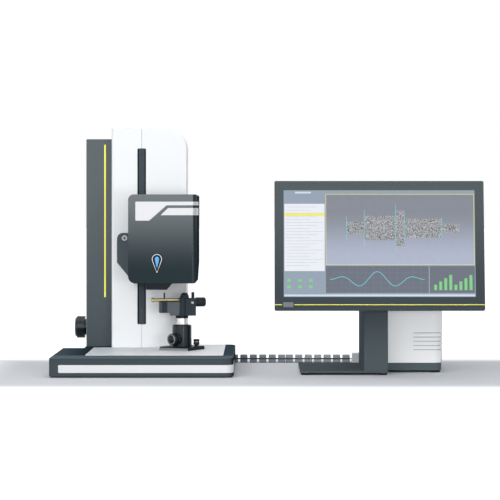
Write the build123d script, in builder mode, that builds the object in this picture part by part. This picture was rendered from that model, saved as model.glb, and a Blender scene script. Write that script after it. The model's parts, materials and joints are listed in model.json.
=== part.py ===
from build123d import *
from math import cos, pi, radians, sin
import os

os.makedirs("parts", exist_ok=True)

# Overall arrangement: the instrument stands at the left, its display and control unit at the right
base_w = 516.0
unit_gap = 114.6
monitor_w = 583.0
base_set_back = 62.0
base_depth = 540.0
spine_lane = 26.0
overall_depth = base_set_back + base_depth + spine_lane
overall_w = base_w + unit_gap + monitor_w
front_y = -overall_depth / 2
rear_y = overall_depth / 2

# Fits shared by all pieces
running_gap = 0.05
free_gap = 0.3
panel_gap = 0.6
inlay_proud = 0.4

# Instrument base
base_left = -overall_w / 2
base_right = base_left + base_w
base_front = front_y + base_set_back
base_rear = base_front + base_depth
base_top = 56.5
base_corner_r = 25.0
base_edge = 1.5
base_wall = 8.0
base_roof = 10.0
base_foot_h = 5.0
base_foot_r = 16.0
base_foot_inset = 32.0
bottom_plate_t = 3.0
bottom_plate_top = base_foot_h + bottom_plate_t
casting_low = 4.0
rebate_w = 3.0
rib_t = 8.0
rib_pitch = 130.0
notch_w = 62.0
notch_front = base_front + 387.0

# Inlaid band along the foot of the base
band_left = base_left + 25.5
band_low = 14.0
band_high = 36.0
band_corner_r = 3.5
band_depth = 2.0
band_side_len = 200.0

# Stage plate let into the top of the base
stage_t = 4.0
stage_proud = 1.5
stage_left = base_left + 93.0
stage_right = base_right - 30.0
stage_margin = 85.0
stage_tower_gap = 2.0
stage_front = base_front + stage_margin
stage_rear = base_front + 515.0
stage_corner_r = 5.0
stage_top = base_top + stage_proud
stage_screw_r = 4.0
stage_screw_inset = 14.0
stage_screw_depth = 2.0

# Tower
tower_left = base_left + 146.0
tower_w = 224.4
tower_right = tower_left + tower_w
tower_front = base_front + 388.0
tower_rear = base_rear
tower_top = 714.0
tower_corner_r = 62.0
tower_edge_r = 9.0
cover_t = 3.0
slot_x = tower_left + 90.5
slot_corner_r = 3.5
slot_w = 25.7
slot_low = 127.0
slot_high = 654.0
rear_panel_t = 3.0
rear_vent_w = 90.0
rear_vent_h = 5.0
rear_vent_pitch = 12.0
rear_vent_count = 8

# Side column
column_w = 81.0
column_left = tower_left - column_w
column_front = tower_front + 58.0
column_top = 684.0
column_edge_r = 5.0
accent_x = column_left + 54.6
accent_w = 5.0
accent_low = 206.0
accent_high = 667.0
accent_depth = 1.0

# Lifting drive inside the tower
drive_y = column_front + 50.0
frame_web_t = 12.0
frame_web_y = drive_y + 22.0
frame_half_w = 80.0
frame_flange_t = 10.0
frame_flange_front = drive_y - 14.0
frame_top = tower_top - 20.0
rail_x = 45.0
rail_w = 15.0
rail_h = 12.0
rail_low = 170.0
rail_high = frame_top - 14.0
block_w = 34.0
block_h = 24.0
block_len = 50.0
carriage_t = 12.0
carriage_w = 130.0
carriage_low = 330.0
carriage_h = 120.0
arm_t = 16.0
screw_r = 6.0
nut_w = 30.0
nut_h = 30.0
bearing_w = 40.0
bearing_h = 16.0
shaft_r = 6.0
shaft_z = 113.0
gear_r = 20.0
gear_face = 8.0
gear_hub_r = 11.0
gear_hub_len = 12.0
gear_teeth = 16

# Hand knob
knob_r = 33.5
knob_len = 29.0
knob_edge_r = 5.0
knob_neck_r = 24.0
knob_neck_len = 5.0
knob_clear = 2.0
knob_ring_count = 5
knob_ring_w = 1.4
knob_ring_depth = 0.7
knob_dish = 2.0
knob_seat = 6.0

# Measuring head
head_left = tower_left + 62.8
head_w = 201.0
head_right = head_left + head_w
head_front = tower_front - 199.0
head_rear = tower_front - 20.0
head_low = 257.0
head_high = 515.0
head_split_y = head_front + 107.0
head_wall = 3.0
head_edge_r = 18.0
head_taper = 4.0
head_taper_z = head_low + 60.0
head_corner_tl = 16.0
head_corner_bl = 21.0
head_corner_r = 8.0
axis_x = head_left + 81.0
axis_y = tower_front - 100.0

# Two light stripes inlaid in the head
stripe_depth = 1.0
stripe_wrap = 78.0
label_left = head_left + 21.0
label_corner_r = 2.5
label_top = 494.0
label_low = 439.0
label_tail_low = 483.4
label_bevel_right = head_left + 111.5
label_bevel_left = head_left + 61.0
second_top = 475.6
second_low = 454.7
second_top_x = head_left + 116.0
second_low_x = head_left + 94.0

# Drop-shaped indicator
drop_x = head_left + 83.5
drop_r = 15.3
drop_z = 327.4
drop_tip_z = 289.0
drop_tip_r = 1.5
drop_rim = 3.2
drop_lens_inset = 6.6
drop_recess = 2.0

# Optics
camera_w = 70.0
camera_low = 400.0
camera_h = 90.0
lens_r = 30.0
lens_bore_r = 24.0
lens_low = 262.0
light_low = 236.0
light_half_depth = 34.0
light_left = head_left + 47.0
light_right = head_left + 126.0
light_right_low = head_left + 109.0
light_bore_r = 25.0

# Side bracket beside the head
bracket_left = head_left - 45.2
bracket_top = 401.0
bracket_step_z = 377.0
bracket_low_z = 313.5
bracket_tip_z = 256.0
bracket_corner_r = 17.0
bracket_step = 2.5
bracket_t = 10.0
bracket_y = head_rear + 3.0
bracket_screw_r = 8.3
bracket_screw_x = bracket_left + 22.7
bracket_screw_z = 385.6

# Rotary fixture on the stage
post_x = tower_left + 214.8
post_y = tower_front - 88.0
fixture_yaw = -27.5
plate_w = 99.0
plate_corner_r = 3.0
lower_t = 6.8
upper_t = 3.2
upper_inset = 0.5
post_r = 28.5
post_top = 132.0
boss_r = 19.0
boss_out = 34.0
clamp_z = 90.0
clamp_heading = -128.0
clamp_r = 17.0
clamp_out = 50.0
clamp_pin_r = 5.0
lock_a = 31.4
lock_b = 31.0
lock_r = 9.0
lock_h = 16.0
lock_groove_z = 7.5
lock_groove_h = 2.4
lock_stem_r = 4.0
spindle_r = 15.0
spindle_flange_r = 18.5
spindle_flange_t = 4.0
spindle_top = 151.0
spindle_depth = 50.0
collar_h = 7.0
tool_yaw = 10.0
block_left = -9.0
block_right = 39.5
block_depth = 32.0
block_top = 210.0
jaw_top = 200.0
jaw_low = 159.0
jaw_step_low = 167.0
jaw_mid_left = -35.0
jaw_left = -67.0
jaw_depth = 31.0
jaw_nose = 6.0
jaw_valley = -45.0
jaw_valley_depth = 3.5
vee_depth = 7.2
tool_r = 4.5
tool_z = 204.6
tool_tip = -92.0
tool_head_r = 6.0
tool_head_len = 9.0
tool_tail = 22.0
cap_x = 7.5
cap_r = 12.7
cap_h = 15.0
guide_x = 33.0
guide_y = 6.0
guide_r = 4.5
guide_h = 17.0
set_screw_x = 28.4
set_screw_z = 197.0
set_screw_r = 3.5
stop_x = -51.5
stop_y = 10.5
stop_r = 2.2
stop_h = 25.5

# Knurled knob at the end of the main block, on a stem of its own below the tool
barrel_z = 198.0
barrel_left = 40.0
barrel_right = 70.0
barrel_r = 13.8
barrel_edge = 3.0
barrel_stem_r = 4.0
barrel_stem_from = 27.0

# Monitor
monitor_h = 362.0
monitor_low = 191.7
monitor_tilt = 7.0
bezel_t = 12.0
bezel_side = 25.5
bezel_top = 26.0
bezel_low = 38.0
bezel_lip = 2.0
bezel_corner_r = 4.0
panel_lap = 3.0
panel_t = 6.0
back_t = 30.0
back_wall = 3.0
back_draft = 14.0
hump_w = 300.0
hump_h = 200.0
hump_t = 14.0
trim_z = 16.4
trim_h = 2.5
hinge_z = 372.0
hinge_r = 6.0

# Stand slab, foot plate and controller
slab_right = base_right + 438.8
slab_w = 67.0
slab_left = slab_right - slab_w
slab_front = front_y + 153.0
slab_depth = 312.0
slab_rear = slab_front + slab_depth
slab_top = 410.0
slab_wall = 4.0
plate_left = slab_right - 249.0
plate_low = 6.0
plate_t = 5.4
plate_top = plate_low + plate_t
controller_w = 164.0
controller_right = slab_right + controller_w
controller_front = slab_front + 92.0
controller_depth = 350.0
controller_top = 390.0
controller_corner_r = 25.0
controller_wall = 2.5
plinth_top = 28.0
plinth_inset = 2.0
vent_count = 5
vent_top = 114.5
vent_pitch = 12.2
vent_h = 2.0
vent_reach = 60.0
vent_left = slab_right + 79.0
unit_foot_r = 12.5
unit_foot_inset = 14.5
controller_foot_inset = 19.0

# Cable spine between the two units
spine_y = (base_rear + rear_y) / 2
link_play = 0.1
link_count = 13
link_len = 22.2
link_w = 24.0
link_h = 24.0
link_edge = 3.0
link_gap = 6.9
link_short_gap = 1.5
short_gap_after = 6
neck_w = 14.0
neck_h = 3.0
link_seam = 1.2
end_len = 24.0
end_h = 30.0
duct_left = slab_right - 56.5
duct_h = 34.0
spine_end = duct_left


def facing_front(y):
    """Upright plane at depth y, seen from the front: right is +X and up is +Z."""
    return Plane(origin=(0, y, 0), x_dir=(1, 0, 0), z_dir=(0, -1, 0))


def lathe_plane(origin, along):
    """Plane through a level axis: X is up from the axis and Y runs along it."""
    return Plane(origin=origin, x_dir=(0, 0, 1), z_dir=Vector(0, 0, 1).cross(Vector(*along)))


def facing_left(x):
    """Upright plane at x, seen from the left: right is -Y and up is +Z."""
    return Plane(origin=(x, 0, 0), x_dir=(0, -1, 0), z_dir=(-1, 0, 0))


def area(x0, x1, y0, y1, mode=Mode.ADD):
    """Rectangle between two opposite corners of the current sketch."""
    with Locations(((x0 + x1) / 2, (y0 + y1) / 2)):
        Rectangle(x1 - x0, y1 - y0, mode=mode)


def base_outline(inset):
    """Plan of the base with its notch, every side pulled in by inset."""
    with BuildSketch() as plan:
        area(base_left, base_right, base_front, base_rear)
        corners = plan.vertices().group_by(Axis.X)[-1]
        fillet(corners, base_corner_r)
        area(base_left, base_left + notch_w, notch_front, base_rear, mode=Mode.SUBTRACT)
        if inset:
            offset(amount=-inset, kind=Kind.INTERSECTION)
    return plan.sketch


def stage_outline():
    """Plan of the stage plate, which passes the tower on its right."""
    with BuildSketch() as plan:
        area(stage_left, stage_right, stage_front, tower_front - stage_tower_gap)
        area(tower_right + stage_tower_gap, stage_right, stage_front, stage_rear)
        fillet(plan.vertices(), stage_corner_r)
    return plan.sketch


def band_form(out, into):
    """Ring along the foot of the base, from out beyond its wall to into below it."""
    with BuildPart() as form:
        with BuildSketch(Plane.XY.offset(band_low)):
            add(base_outline(-out))
            add(base_outline(into), mode=Mode.SUBTRACT)
        extrude(amount=band_high - band_low)
        with BuildSketch(facing_front(base_front - 2)) as reach:
            area(band_left, base_right + 2, band_low, band_high)
            fillet(reach.vertices().group_by(Axis.X)[0], band_corner_r)
        extrude(amount=-(band_side_len + 2), mode=Mode.INTERSECT)
    return form.part


# Cast base: an open-bottomed shell with cross ribs under its roof
with BuildPart() as base_casting:
    with BuildSketch(Plane.XY.offset(casting_low)):
        add(base_outline(0))
    extrude(amount=base_top - casting_low)
    chamfer(base_casting.faces().sort_by(Axis.Z)[-1].edges(), base_edge)
    with BuildSketch(Plane.XY.offset(casting_low)):
        add(base_outline(rebate_w))
    extrude(amount=bottom_plate_top - casting_low, mode=Mode.SUBTRACT)
    with BuildSketch(Plane.XY.offset(bottom_plate_top)):
        add(base_outline(base_wall))
    extrude(amount=base_top - base_roof - bottom_plate_top, mode=Mode.SUBTRACT)
    with BuildSketch(Plane.XY.offset(bottom_plate_top)):
        for rib_y in (base_front + rib_pitch, base_front + 2 * rib_pitch):
            area(base_left + rib_t, base_right - rib_t, rib_y - rib_t / 2, rib_y + rib_t / 2)
        for rib_x in (base_left + base_w / 3, base_left + 2 * base_w / 3):
            area(rib_x - rib_t / 2, rib_x + rib_t / 2, base_front + rib_t, base_rear - rib_t)
    extrude(amount=base_top - base_roof - bottom_plate_top)
    with BuildSketch(Plane.XY.offset(base_top)):
        add(stage_outline())
    extrude(amount=-(stage_t - stage_proud), mode=Mode.SUBTRACT)
    add(band_form(2.0, band_depth), mode=Mode.SUBTRACT)
base_casting.part.label = "base_casting"
export_step(base_casting.part, "parts/base_casting.step")

with BuildPart() as base_bottom_plate:
    with BuildSketch(Plane.XY.offset(base_foot_h)):
        add(base_outline(rebate_w + free_gap))
    extrude(amount=bottom_plate_t)
base_bottom_plate.part.label = "base_bottom_plate"
export_step(base_bottom_plate.part, "parts/base_bottom_plate.step")

with BuildPart() as base_band:
    add(band_form(inlay_proud, band_depth))
base_band.part.label = "base_band"
export_step(base_band.part, "parts/base_band.step")

# Stage plate with a countersunk screw near each free corner
stage_screw_places = [
    (stage_left + stage_screw_inset, stage_front + stage_screw_inset),
    (stage_right - stage_screw_inset, stage_front + stage_screw_inset),
    (stage_left + stage_screw_inset, tower_front - stage_tower_gap - stage_screw_inset),
    (stage_right - stage_screw_inset, stage_rear - stage_screw_inset),
]
with BuildPart() as stage_plate:
    with BuildSketch(Plane.XY.offset(stage_top)):
        add(stage_outline())
    extrude(amount=-stage_t)
    chamfer(stage_plate.faces().sort_by(Axis.Z)[-1].edges(), 0.5)
    with Locations(*[(x, y, stage_top) for x, y in stage_screw_places]):
        Hole(stage_screw_r, depth=stage_screw_depth)
stage_plate.part.label = "stage_plate"
export_step(stage_plate.part, "parts/stage_plate.step")

with BuildPart() as stage_screws:
    with BuildSketch(Plane.XY.offset(stage_top - stage_screw_depth)):
        with Locations(*stage_screw_places):
            Circle(stage_screw_r)
    extrude(amount=stage_screw_depth)
    with BuildSketch(Plane.XY.offset(stage_top)):
        with Locations(*stage_screw_places):
            RegularPolygon(stage_screw_r / 2, 6)
    extrude(amount=-stage_screw_depth / 2, mode=Mode.SUBTRACT)
stage_screws.part.label = "stage_screws"
export_step(stage_screws.part, "parts/stage_screws.step")


def tower_form(inset):
    """Outer form of the tower, every side but its foot pulled in by inset."""
    rear = tower_rear - rear_panel_t
    with BuildPart() as form:
        with BuildSketch(facing_front(tower_front + inset)) as outline:
            area(tower_left + inset, tower_right - inset, base_top, tower_top - inset)
            top = outline.vertices().group_by(Axis.Y)[-1]
            fillet(top.sort_by(Axis.X)[-1], tower_corner_r - inset)
        extrude(amount=-(rear - tower_front - inset))
        left_front = form.edges().filter_by(Axis.Z).group_by(Axis.Y)[0].sort_by(Axis.X)[0]
        fillet(left_front, tower_edge_r - inset)
    return form.part


def slot_outline():
    """Front view of the slot that the head's arm runs in."""
    with BuildSketch() as outline:
        area(slot_x - slot_w / 2, slot_x + slot_w / 2, slot_low, slot_high)
        fillet(outline.vertices(), slot_corner_r)
    return outline.sketch


# Tower skin: one moulded shell, slotted in front, that parts along the middle of the slot
with BuildPart() as tower_skin:
    add(tower_form(0))
    add(tower_form(cover_t), mode=Mode.SUBTRACT)
    with BuildSketch(facing_front(tower_front)):
        add(slot_outline())
    extrude(amount=-cover_t, mode=Mode.SUBTRACT)
    with BuildSketch(facing_left(tower_left)):
        with Locations((-drive_y, shaft_z)):
            Circle(shaft_r + 6)
    extrude(amount=-cover_t, mode=Mode.SUBTRACT)

with BuildPart() as tower_cover_left:
    add(tower_skin.part)
    split(bisect_by=Plane.YZ.offset(slot_x - panel_gap / 2), keep=Keep.BOTTOM)
tower_cover_left.part.label = "tower_cover_left"
export_step(tower_cover_left.part, "parts/tower_cover_left.step")

with BuildPart() as tower_cover_right:
    add(tower_skin.part)
    split(bisect_by=Plane.YZ.offset(slot_x + panel_gap / 2), keep=Keep.TOP)
tower_cover_right.part.label = "tower_cover_right"
export_step(tower_cover_right.part, "parts/tower_cover_right.step")

with BuildPart() as tower_rear_panel:
    with BuildSketch(facing_front(tower_rear - rear_panel_t)) as outline:
        area(tower_left, tower_right, base_top, tower_top)
        top = outline.vertices().group_by(Axis.Y)[-1]
        fillet(top.sort_by(Axis.X)[-1], tower_corner_r)
    extrude(amount=-rear_panel_t)
    with BuildSketch(facing_front(tower_rear)):
        with Locations((tower_left + tower_w / 2, tower_top - 110)):
            with GridLocations(0, rear_vent_pitch, 1, rear_vent_count):
                Rectangle(rear_vent_w, rear_vent_h)
    extrude(amount=rear_panel_t, mode=Mode.SUBTRACT)
tower_rear_panel.part.label = "tower_rear_panel"
export_step(tower_rear_panel.part, "parts/tower_rear_panel.step")

# Rubber lips that close the slot up to the moving arm
lip_w = (slot_w - arm_t) / 2 - panel_gap
with BuildPart() as slot_lips:
    with BuildSketch(facing_front(tower_front + 0.8)):
        for side in (-1, 1):
            with Locations((slot_x + side * (slot_w / 2 - lip_w / 2), (slot_low + slot_high) / 2)):
                Rectangle(lip_w, slot_high - slot_low)
        add(slot_outline(), mode=Mode.INTERSECT)
    extrude(amount=-1.8)
slot_lips.part.label = "slot_lips"
export_step(slot_lips.part, "parts/slot_lips.step")

# Upright frame: a channel that opens to the front, on a foot flange
with BuildPart() as tower_frame:
    with BuildSketch(Plane.XY.offset(base_top)):
        area(slot_x - frame_half_w, slot_x + frame_half_w, frame_web_y, frame_web_y + frame_web_t)
        for side in (-1, 1):
            outer = slot_x + side * frame_half_w
            inner = outer - side * frame_flange_t
            area(min(outer, inner), max(outer, inner), frame_flange_front, frame_web_y)
    extrude(amount=frame_top - base_top)
    with BuildSketch(Plane.XY.offset(base_top)):
        area(slot_x - frame_half_w, slot_x + frame_half_w, drive_y - 60, frame_web_y)
    extrude(amount=12)
    with BuildSketch(facing_left(slot_x - frame_half_w)):
        with Locations((-drive_y, shaft_z)):
            Circle(shaft_r + 6)
    extrude(amount=-frame_flange_t, mode=Mode.SUBTRACT)
tower_frame.part.label = "tower_frame"
export_step(tower_frame.part, "parts/tower_frame.step")

with BuildPart() as linear_rails:
    with BuildSketch(Plane.XY.offset(rail_low)):
        with Locations(*[(slot_x + side * rail_x, frame_web_y - rail_h / 2) for side in (-1, 1)]):
            Rectangle(rail_w, rail_h)
            with GridLocations(rail_w, 0, 2, 1):
                Circle(2.0, mode=Mode.SUBTRACT)
    extrude(amount=rail_high - rail_low)
linear_rails.part.label = "linear_rails"
export_step(linear_rails.part, "parts/linear_rails.step")

# Four blocks ride on the rails and carry the carriage plate
carriage_y = frame_web_y - 10 - block_h
with BuildPart() as rail_blocks:
    for block_z in (carriage_low, carriage_low + carriage_h - block_len):
        with BuildSketch(Plane.XY.offset(block_z)):
            for side in (-1, 1):
                centre_x = slot_x + side * rail_x
                half = rail_w / 2 + free_gap
                area(centre_x - block_w / 2, centre_x + block_w / 2, carriage_y, carriage_y + block_h)
                area(centre_x - half, centre_x + half, frame_web_y - rail_h - free_gap,
                     carriage_y + block_h, mode=Mode.SUBTRACT)
        extrude(amount=block_len)
rail_blocks.part.label = "rail_blocks"
export_step(rail_blocks.part, "parts/rail_blocks.step")

with BuildPart() as carriage_plate:
    with BuildSketch(facing_front(carriage_y)) as outline:
        area(slot_x - carriage_w / 2, slot_x + carriage_w / 2, carriage_low, carriage_low + carriage_h)
        fillet(outline.vertices(), 6)
    extrude(amount=carriage_t)
carriage_plate.part.label = "carriage_plate"
export_step(carriage_plate.part, "parts/carriage_plate.step")

# Arm: a rib through the slot with a flange inside the head
arm_rear = carriage_y - carriage_t
flange_y = head_rear - head_wall
with BuildPart() as head_arm:
    with BuildSketch(facing_front(arm_rear)):
        area(slot_x - arm_t / 2, slot_x + arm_t / 2, carriage_low, carriage_low + carriage_h)
    extrude(amount=arm_rear - flange_y)
    with BuildSketch(facing_front(flange_y)) as flange:
        area(slot_x - 14, axis_x + 60, carriage_low - 8, camera_low + camera_h - 10)
        fillet(flange.vertices(), 8)
    extrude(amount=8)
head_arm.part.label = "head_arm"
export_step(head_arm.part, "parts/head_arm.step")

# Lead screw with its journals in two bearing blocks on the frame
screw_low = shaft_z + gear_r - gear_face
lower_bearing_z = shaft_z + gear_r + gear_hub_len + 4
upper_bearing_z = frame_top - bearing_h - 4
with BuildPart() as lead_screw:
    with BuildSketch(Plane.XY.offset(screw_low)):
        with Locations((slot_x, drive_y)):
            Circle(screw_r)
    extrude(amount=frame_top - screw_low)
    with Locations((slot_x, drive_y, lower_bearing_z + bearing_h + 1.5)):
        Cylinder(screw_r + 4, 2)
    chamfer(lead_screw.edges().filter_by(GeomType.CIRCLE).sort_by(Axis.Z)[-1], 1.0)
lead_screw.part.label = "lead_screw"
export_step(lead_screw.part, "parts/lead_screw.step")

with BuildPart() as screw_nut:
    with BuildSketch(Plane.XY.offset(carriage_low + (carriage_h - nut_h) / 2)):
        area(slot_x - nut_w / 2, slot_x + nut_w / 2, carriage_y, frame_web_y - 8)
        with Locations((slot_x, drive_y)):
            Circle(screw_r + running_gap, mode=Mode.SUBTRACT)
    extrude(amount=nut_h)
screw_nut.part.label = "screw_nut"
export_step(screw_nut.part, "parts/screw_nut.step")

with BuildPart() as shaft_bearings:
    for bearing_z in (lower_bearing_z, upper_bearing_z):
        with BuildSketch(Plane.XY.offset(bearing_z)):
            area(slot_x - bearing_w / 2, slot_x + bearing_w / 2, drive_y - bearing_w / 2, frame_web_y)
            with Locations((slot_x, drive_y)):
                Circle(screw_r + running_gap, mode=Mode.SUBTRACT)
        extrude(amount=bearing_h)
    with BuildSketch(facing_left(slot_x - frame_half_w)):
        with Locations((-drive_y, shaft_z)):
            Circle(shaft_r + 6)
            Circle(shaft_r + running_gap, mode=Mode.SUBTRACT)
    extrude(amount=-frame_flange_t)
    with BuildSketch(facing_left(column_left)):
        with Locations((-drive_y, shaft_z)):
            Circle(shaft_r + 6)
            Circle(shaft_r + running_gap, mode=Mode.SUBTRACT)
    extrude(amount=-10)
shaft_bearings.part.label = "shaft_bearings"
export_step(shaft_bearings.part, "parts/shaft_bearings.step")


def bevel_gear(where, bore):
    """Bevel gear with its cone's apex at the plane's origin and its hub on the far side."""
    back_r = gear_r - 0.4
    front_r = gear_r - gear_face - 0.4
    with BuildPart() as gear:
        with BuildSketch(Plane.XZ):
            with BuildLine():
                Polyline(
                    (bore, gear_r - gear_face),
                    (front_r, gear_r - gear_face),
                    (back_r, gear_r),
                    (gear_hub_r, gear_r),
                    (gear_hub_r, gear_r + gear_hub_len),
                    (bore, gear_r + gear_hub_len),
                    close=True,
                )
            make_face()
        revolve(axis=Axis.Z)
        with BuildSketch(Plane.XY.offset(gear_r)):
            with PolarLocations(gear_r, gear_teeth):
                Rectangle(5.0, 3.0)
        extrude(amount=-gear_face, mode=Mode.SUBTRACT)
    return where * gear.part


with BuildPart() as screw_gear:
    add(bevel_gear(Location((slot_x, drive_y, shaft_z)), screw_r))
screw_gear.part.label = "screw_gear"
export_step(screw_gear.part, "parts/screw_gear.step")

with BuildPart() as shaft_gear:
    add(bevel_gear(Plane(origin=(slot_x, drive_y, shaft_z), x_dir=(0, 0, 1), z_dir=(-1, 0, 0)), shaft_r))
shaft_gear.part.label = "shaft_gear"
export_step(shaft_gear.part, "parts/shaft_gear.step")

knob_out = column_left - knob_clear - knob_neck_len - knob_len
with BuildPart() as knob_shaft:
    with BuildSketch(facing_left(slot_x - gear_r + gear_face)):
        with Locations((-drive_y, shaft_z)):
            Circle(shaft_r)
    extrude(amount=slot_x - gear_r + gear_face - knob_out - knob_seat)
knob_shaft.part.label = "knob_shaft"
export_step(knob_shaft.part, "parts/knob_shaft.step")

# Hand knob: a ringed drum with a dished face, a chamfer and a slimmer neck
knob_face = (knob_out, drive_y, shaft_z)
with BuildPart() as height_knob:
    with BuildSketch(lathe_plane(knob_face, (1, 0, 0))):
        with BuildLine():
            Polyline((knob_r, knob_edge_r), (knob_r, knob_len), (knob_neck_r, knob_len),
                     (knob_neck_r, knob_len + knob_neck_len), (shaft_r, knob_len + knob_neck_len),
                     (shaft_r, knob_seat), (0, knob_seat), (0, knob_dish), (knob_r - knob_edge_r - 3, knob_dish),
                     (knob_r - knob_edge_r - 1, 0), (knob_r - knob_edge_r, 0))
            RadiusArc((knob_r - knob_edge_r, 0), (knob_r, knob_edge_r), knob_edge_r)
        make_face()
        ring_pitch = (knob_len - 2 * knob_edge_r) / (knob_ring_count - 1)
        with Locations(*[(knob_r, knob_edge_r + 1 + i * ring_pitch) for i in range(knob_ring_count)]):
            Rectangle(2 * knob_ring_depth, knob_ring_w, mode=Mode.SUBTRACT)
    revolve(axis=Axis(knob_face, (1, 0, 0)))
height_knob.part.label = "height_knob"
export_step(height_knob.part, "parts/height_knob.step")

# Side column: a closed shell on three sides that stands against the tower
with BuildPart() as column_housing:
    with BuildSketch(Plane.XY.offset(base_top)) as plan:
        area(column_left, tower_left, column_front, tower_rear)
        fillet(plan.vertices().group_by(Axis.Y)[0].sort_by(Axis.X)[0], column_edge_r)
    extrude(amount=column_top - base_top)
    chamfer(column_housing.faces().sort_by(Axis.Z)[-1].edges().group_by(Axis.X)[0], 2)
    with BuildSketch(Plane.XY.offset(base_top)) as hollow:
        area(column_left + cover_t, tower_left, column_front + cover_t, tower_rear - cover_t)
        fillet(hollow.vertices().group_by(Axis.Y)[0].sort_by(Axis.X)[0], column_edge_r - cover_t)
    extrude(amount=column_top - cover_t - base_top, mode=Mode.SUBTRACT)
    with BuildSketch(facing_left(column_left)):
        with Locations((-drive_y, shaft_z)):
            Circle(shaft_r + 6)
    extrude(amount=-cover_t, mode=Mode.SUBTRACT)
    with BuildSketch(facing_front(column_front)):
        area(accent_x, accent_x + accent_w, accent_low, accent_high)
    extrude(amount=-accent_depth, mode=Mode.SUBTRACT)
column_housing.part.label = "column_housing"
export_step(column_housing.part, "parts/column_housing.step")

with BuildPart() as accent_strip:
    with BuildSketch(facing_front(column_front - inlay_proud)):
        area(accent_x, accent_x + accent_w, accent_low, accent_high)
    extrude(amount=-(accent_depth + inlay_proud))
accent_strip.part.label = "accent_strip"
export_step(accent_strip.part, "parts/accent_strip.step")


def head_form(inset):
    """Outer form of the measuring head, every side pulled in by inset."""
    left = head_left + inset
    right = head_right - inset
    low = head_low + inset
    high = head_high - inset
    with BuildPart() as form:
        with BuildSketch(Plane.XY.offset(low)) as plan:
            area(left, right, head_front + inset, head_rear - inset)
            front = plan.vertices().group_by(Axis.Y)[0].sort_by(Axis.X)
            fillet(front[-1], head_edge_r - inset)
            fillet(front[0], 4 - inset)
        extrude(amount=high - low)
        corners = {
            (left, low): head_corner_bl,
            (right - head_taper, low): head_corner_r,
            (right, high): head_corner_r,
            (left, high): head_corner_tl,
        }
        with BuildSketch(facing_front(head_front - 5)) as outline:
            with BuildLine():
                Polyline((left, low), (right - head_taper, low), (right, head_taper_z), (right, high), (left, high),
                         close=True)
            make_face()
            for corner, corner_r in corners.items():
                fillet(outline.vertices().sort_by_distance(corner)[0], corner_r - inset)
        extrude(amount=-(head_rear - head_front + 10), mode=Mode.INTERSECT)
    return form.part


def drop_outline(pull_in):
    """Drop with a round top and its tip downwards, pulled in by pull_in."""
    with BuildSketch() as outline:
        with Locations((drop_x, drop_z)):
            Circle(drop_r - pull_in)
        with Locations((drop_x, drop_tip_z + 1.6 * pull_in)):
            Circle(drop_tip_r)
        make_hull()
    return outline.sketch


def stripe_form(out, into):
    """The two light stripes as one skin, from out beyond the head's surface to into below it."""
    with BuildPart() as form:
        with BuildSketch(facing_front(head_front - 2)) as label:
            with BuildLine():
                Polyline(
                    (label_left, label_low),
                    (label_left, label_top),
                    (head_right + 2, label_top),
                    (head_right + 2, label_tail_low),
                    (label_bevel_right, label_tail_low),
                    (label_bevel_left, label_low),
                    close=True,
                )
            make_face()
            fillet(label.vertices().group_by(Axis.X)[0], label_corner_r)
            with BuildLine():
                Polyline(
                    (second_top_x, second_top),
                    (head_right + 2, second_top),
                    (head_right + 2, second_low),
                    (second_low_x, second_low),
                    close=True,
                )
            make_face()
        extrude(amount=-(stripe_wrap + 2))
        add(head_form(-out), mode=Mode.INTERSECT)
        add(head_form(into), mode=Mode.SUBTRACT)
    return form.part


# Head skin: one moulded form, open below for the optics and behind for the arm
with BuildPart() as head_skin:
    add(head_form(0))
    add(head_form(head_wall), mode=Mode.SUBTRACT)
    with BuildSketch(Plane.XY.offset(head_low)):
        with Locations((axis_x, axis_y)):
            Circle(lens_r + 2)
    extrude(amount=head_wall, mode=Mode.SUBTRACT)
    with BuildSketch(facing_front(head_rear)):
        area(slot_x - arm_t / 2, slot_x + arm_t / 2, carriage_low, carriage_low + carriage_h)
    extrude(amount=head_wall, mode=Mode.SUBTRACT)

with BuildPart() as head_front_shell:
    add(head_skin.part)
    split(bisect_by=Plane.XZ.offset(-(head_split_y - panel_gap / 2)), keep=Keep.TOP)
    with BuildSketch(facing_front(head_front + head_wall)):
        add(drop_outline(-3.0))
    extrude(amount=-4.0)
    with BuildSketch(facing_front(head_front)):
        add(drop_outline(-2.0))
    extrude(amount=-drop_recess, mode=Mode.SUBTRACT)
    add(stripe_form(2.0, stripe_depth), mode=Mode.SUBTRACT)
head_front_shell.part.label = "head_front_shell"
export_step(head_front_shell.part, "parts/head_front_shell.step")

with BuildPart() as head_rear_shell:
    add(head_skin.part)
    split(bisect_by=Plane.XZ.offset(-(head_split_y + panel_gap / 2)), keep=Keep.BOTTOM)
head_rear_shell.part.label = "head_rear_shell"
export_step(head_rear_shell.part, "parts/head_rear_shell.step")

with BuildPart() as head_stripes:
    add(stripe_form(inlay_proud, stripe_depth))
head_stripes.part.label = "head_stripes"
export_step(head_stripes.part, "parts/head_stripes.step")

# Indicator: a bright drop-shaped rim in a recess, with a domed lens inside it
with BuildPart() as indicator_bezel:
    with BuildSketch(facing_front(head_front + drop_recess)):
        add(drop_outline(0))
        add(drop_outline(drop_rim), mode=Mode.SUBTRACT)
    extrude(amount=drop_recess + 0.8)
    chamfer(indicator_bezel.faces().sort_by(Axis.Y)[0].edges(), 0.6)
indicator_bezel.part.label = "indicator_bezel"
export_step(indicator_bezel.part, "parts/indicator_bezel.step")

with BuildPart() as indicator_lens:
    with BuildSketch(facing_front(head_front + drop_recess)):
        add(drop_outline(drop_lens_inset))
    extrude(amount=drop_recess + 0.2)
    chamfer(indicator_lens.faces().sort_by(Axis.Y)[0].edges(), 0.8)
indicator_lens.part.label = "indicator_lens"
export_step(indicator_lens.part, "parts/indicator_lens.step")

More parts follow.
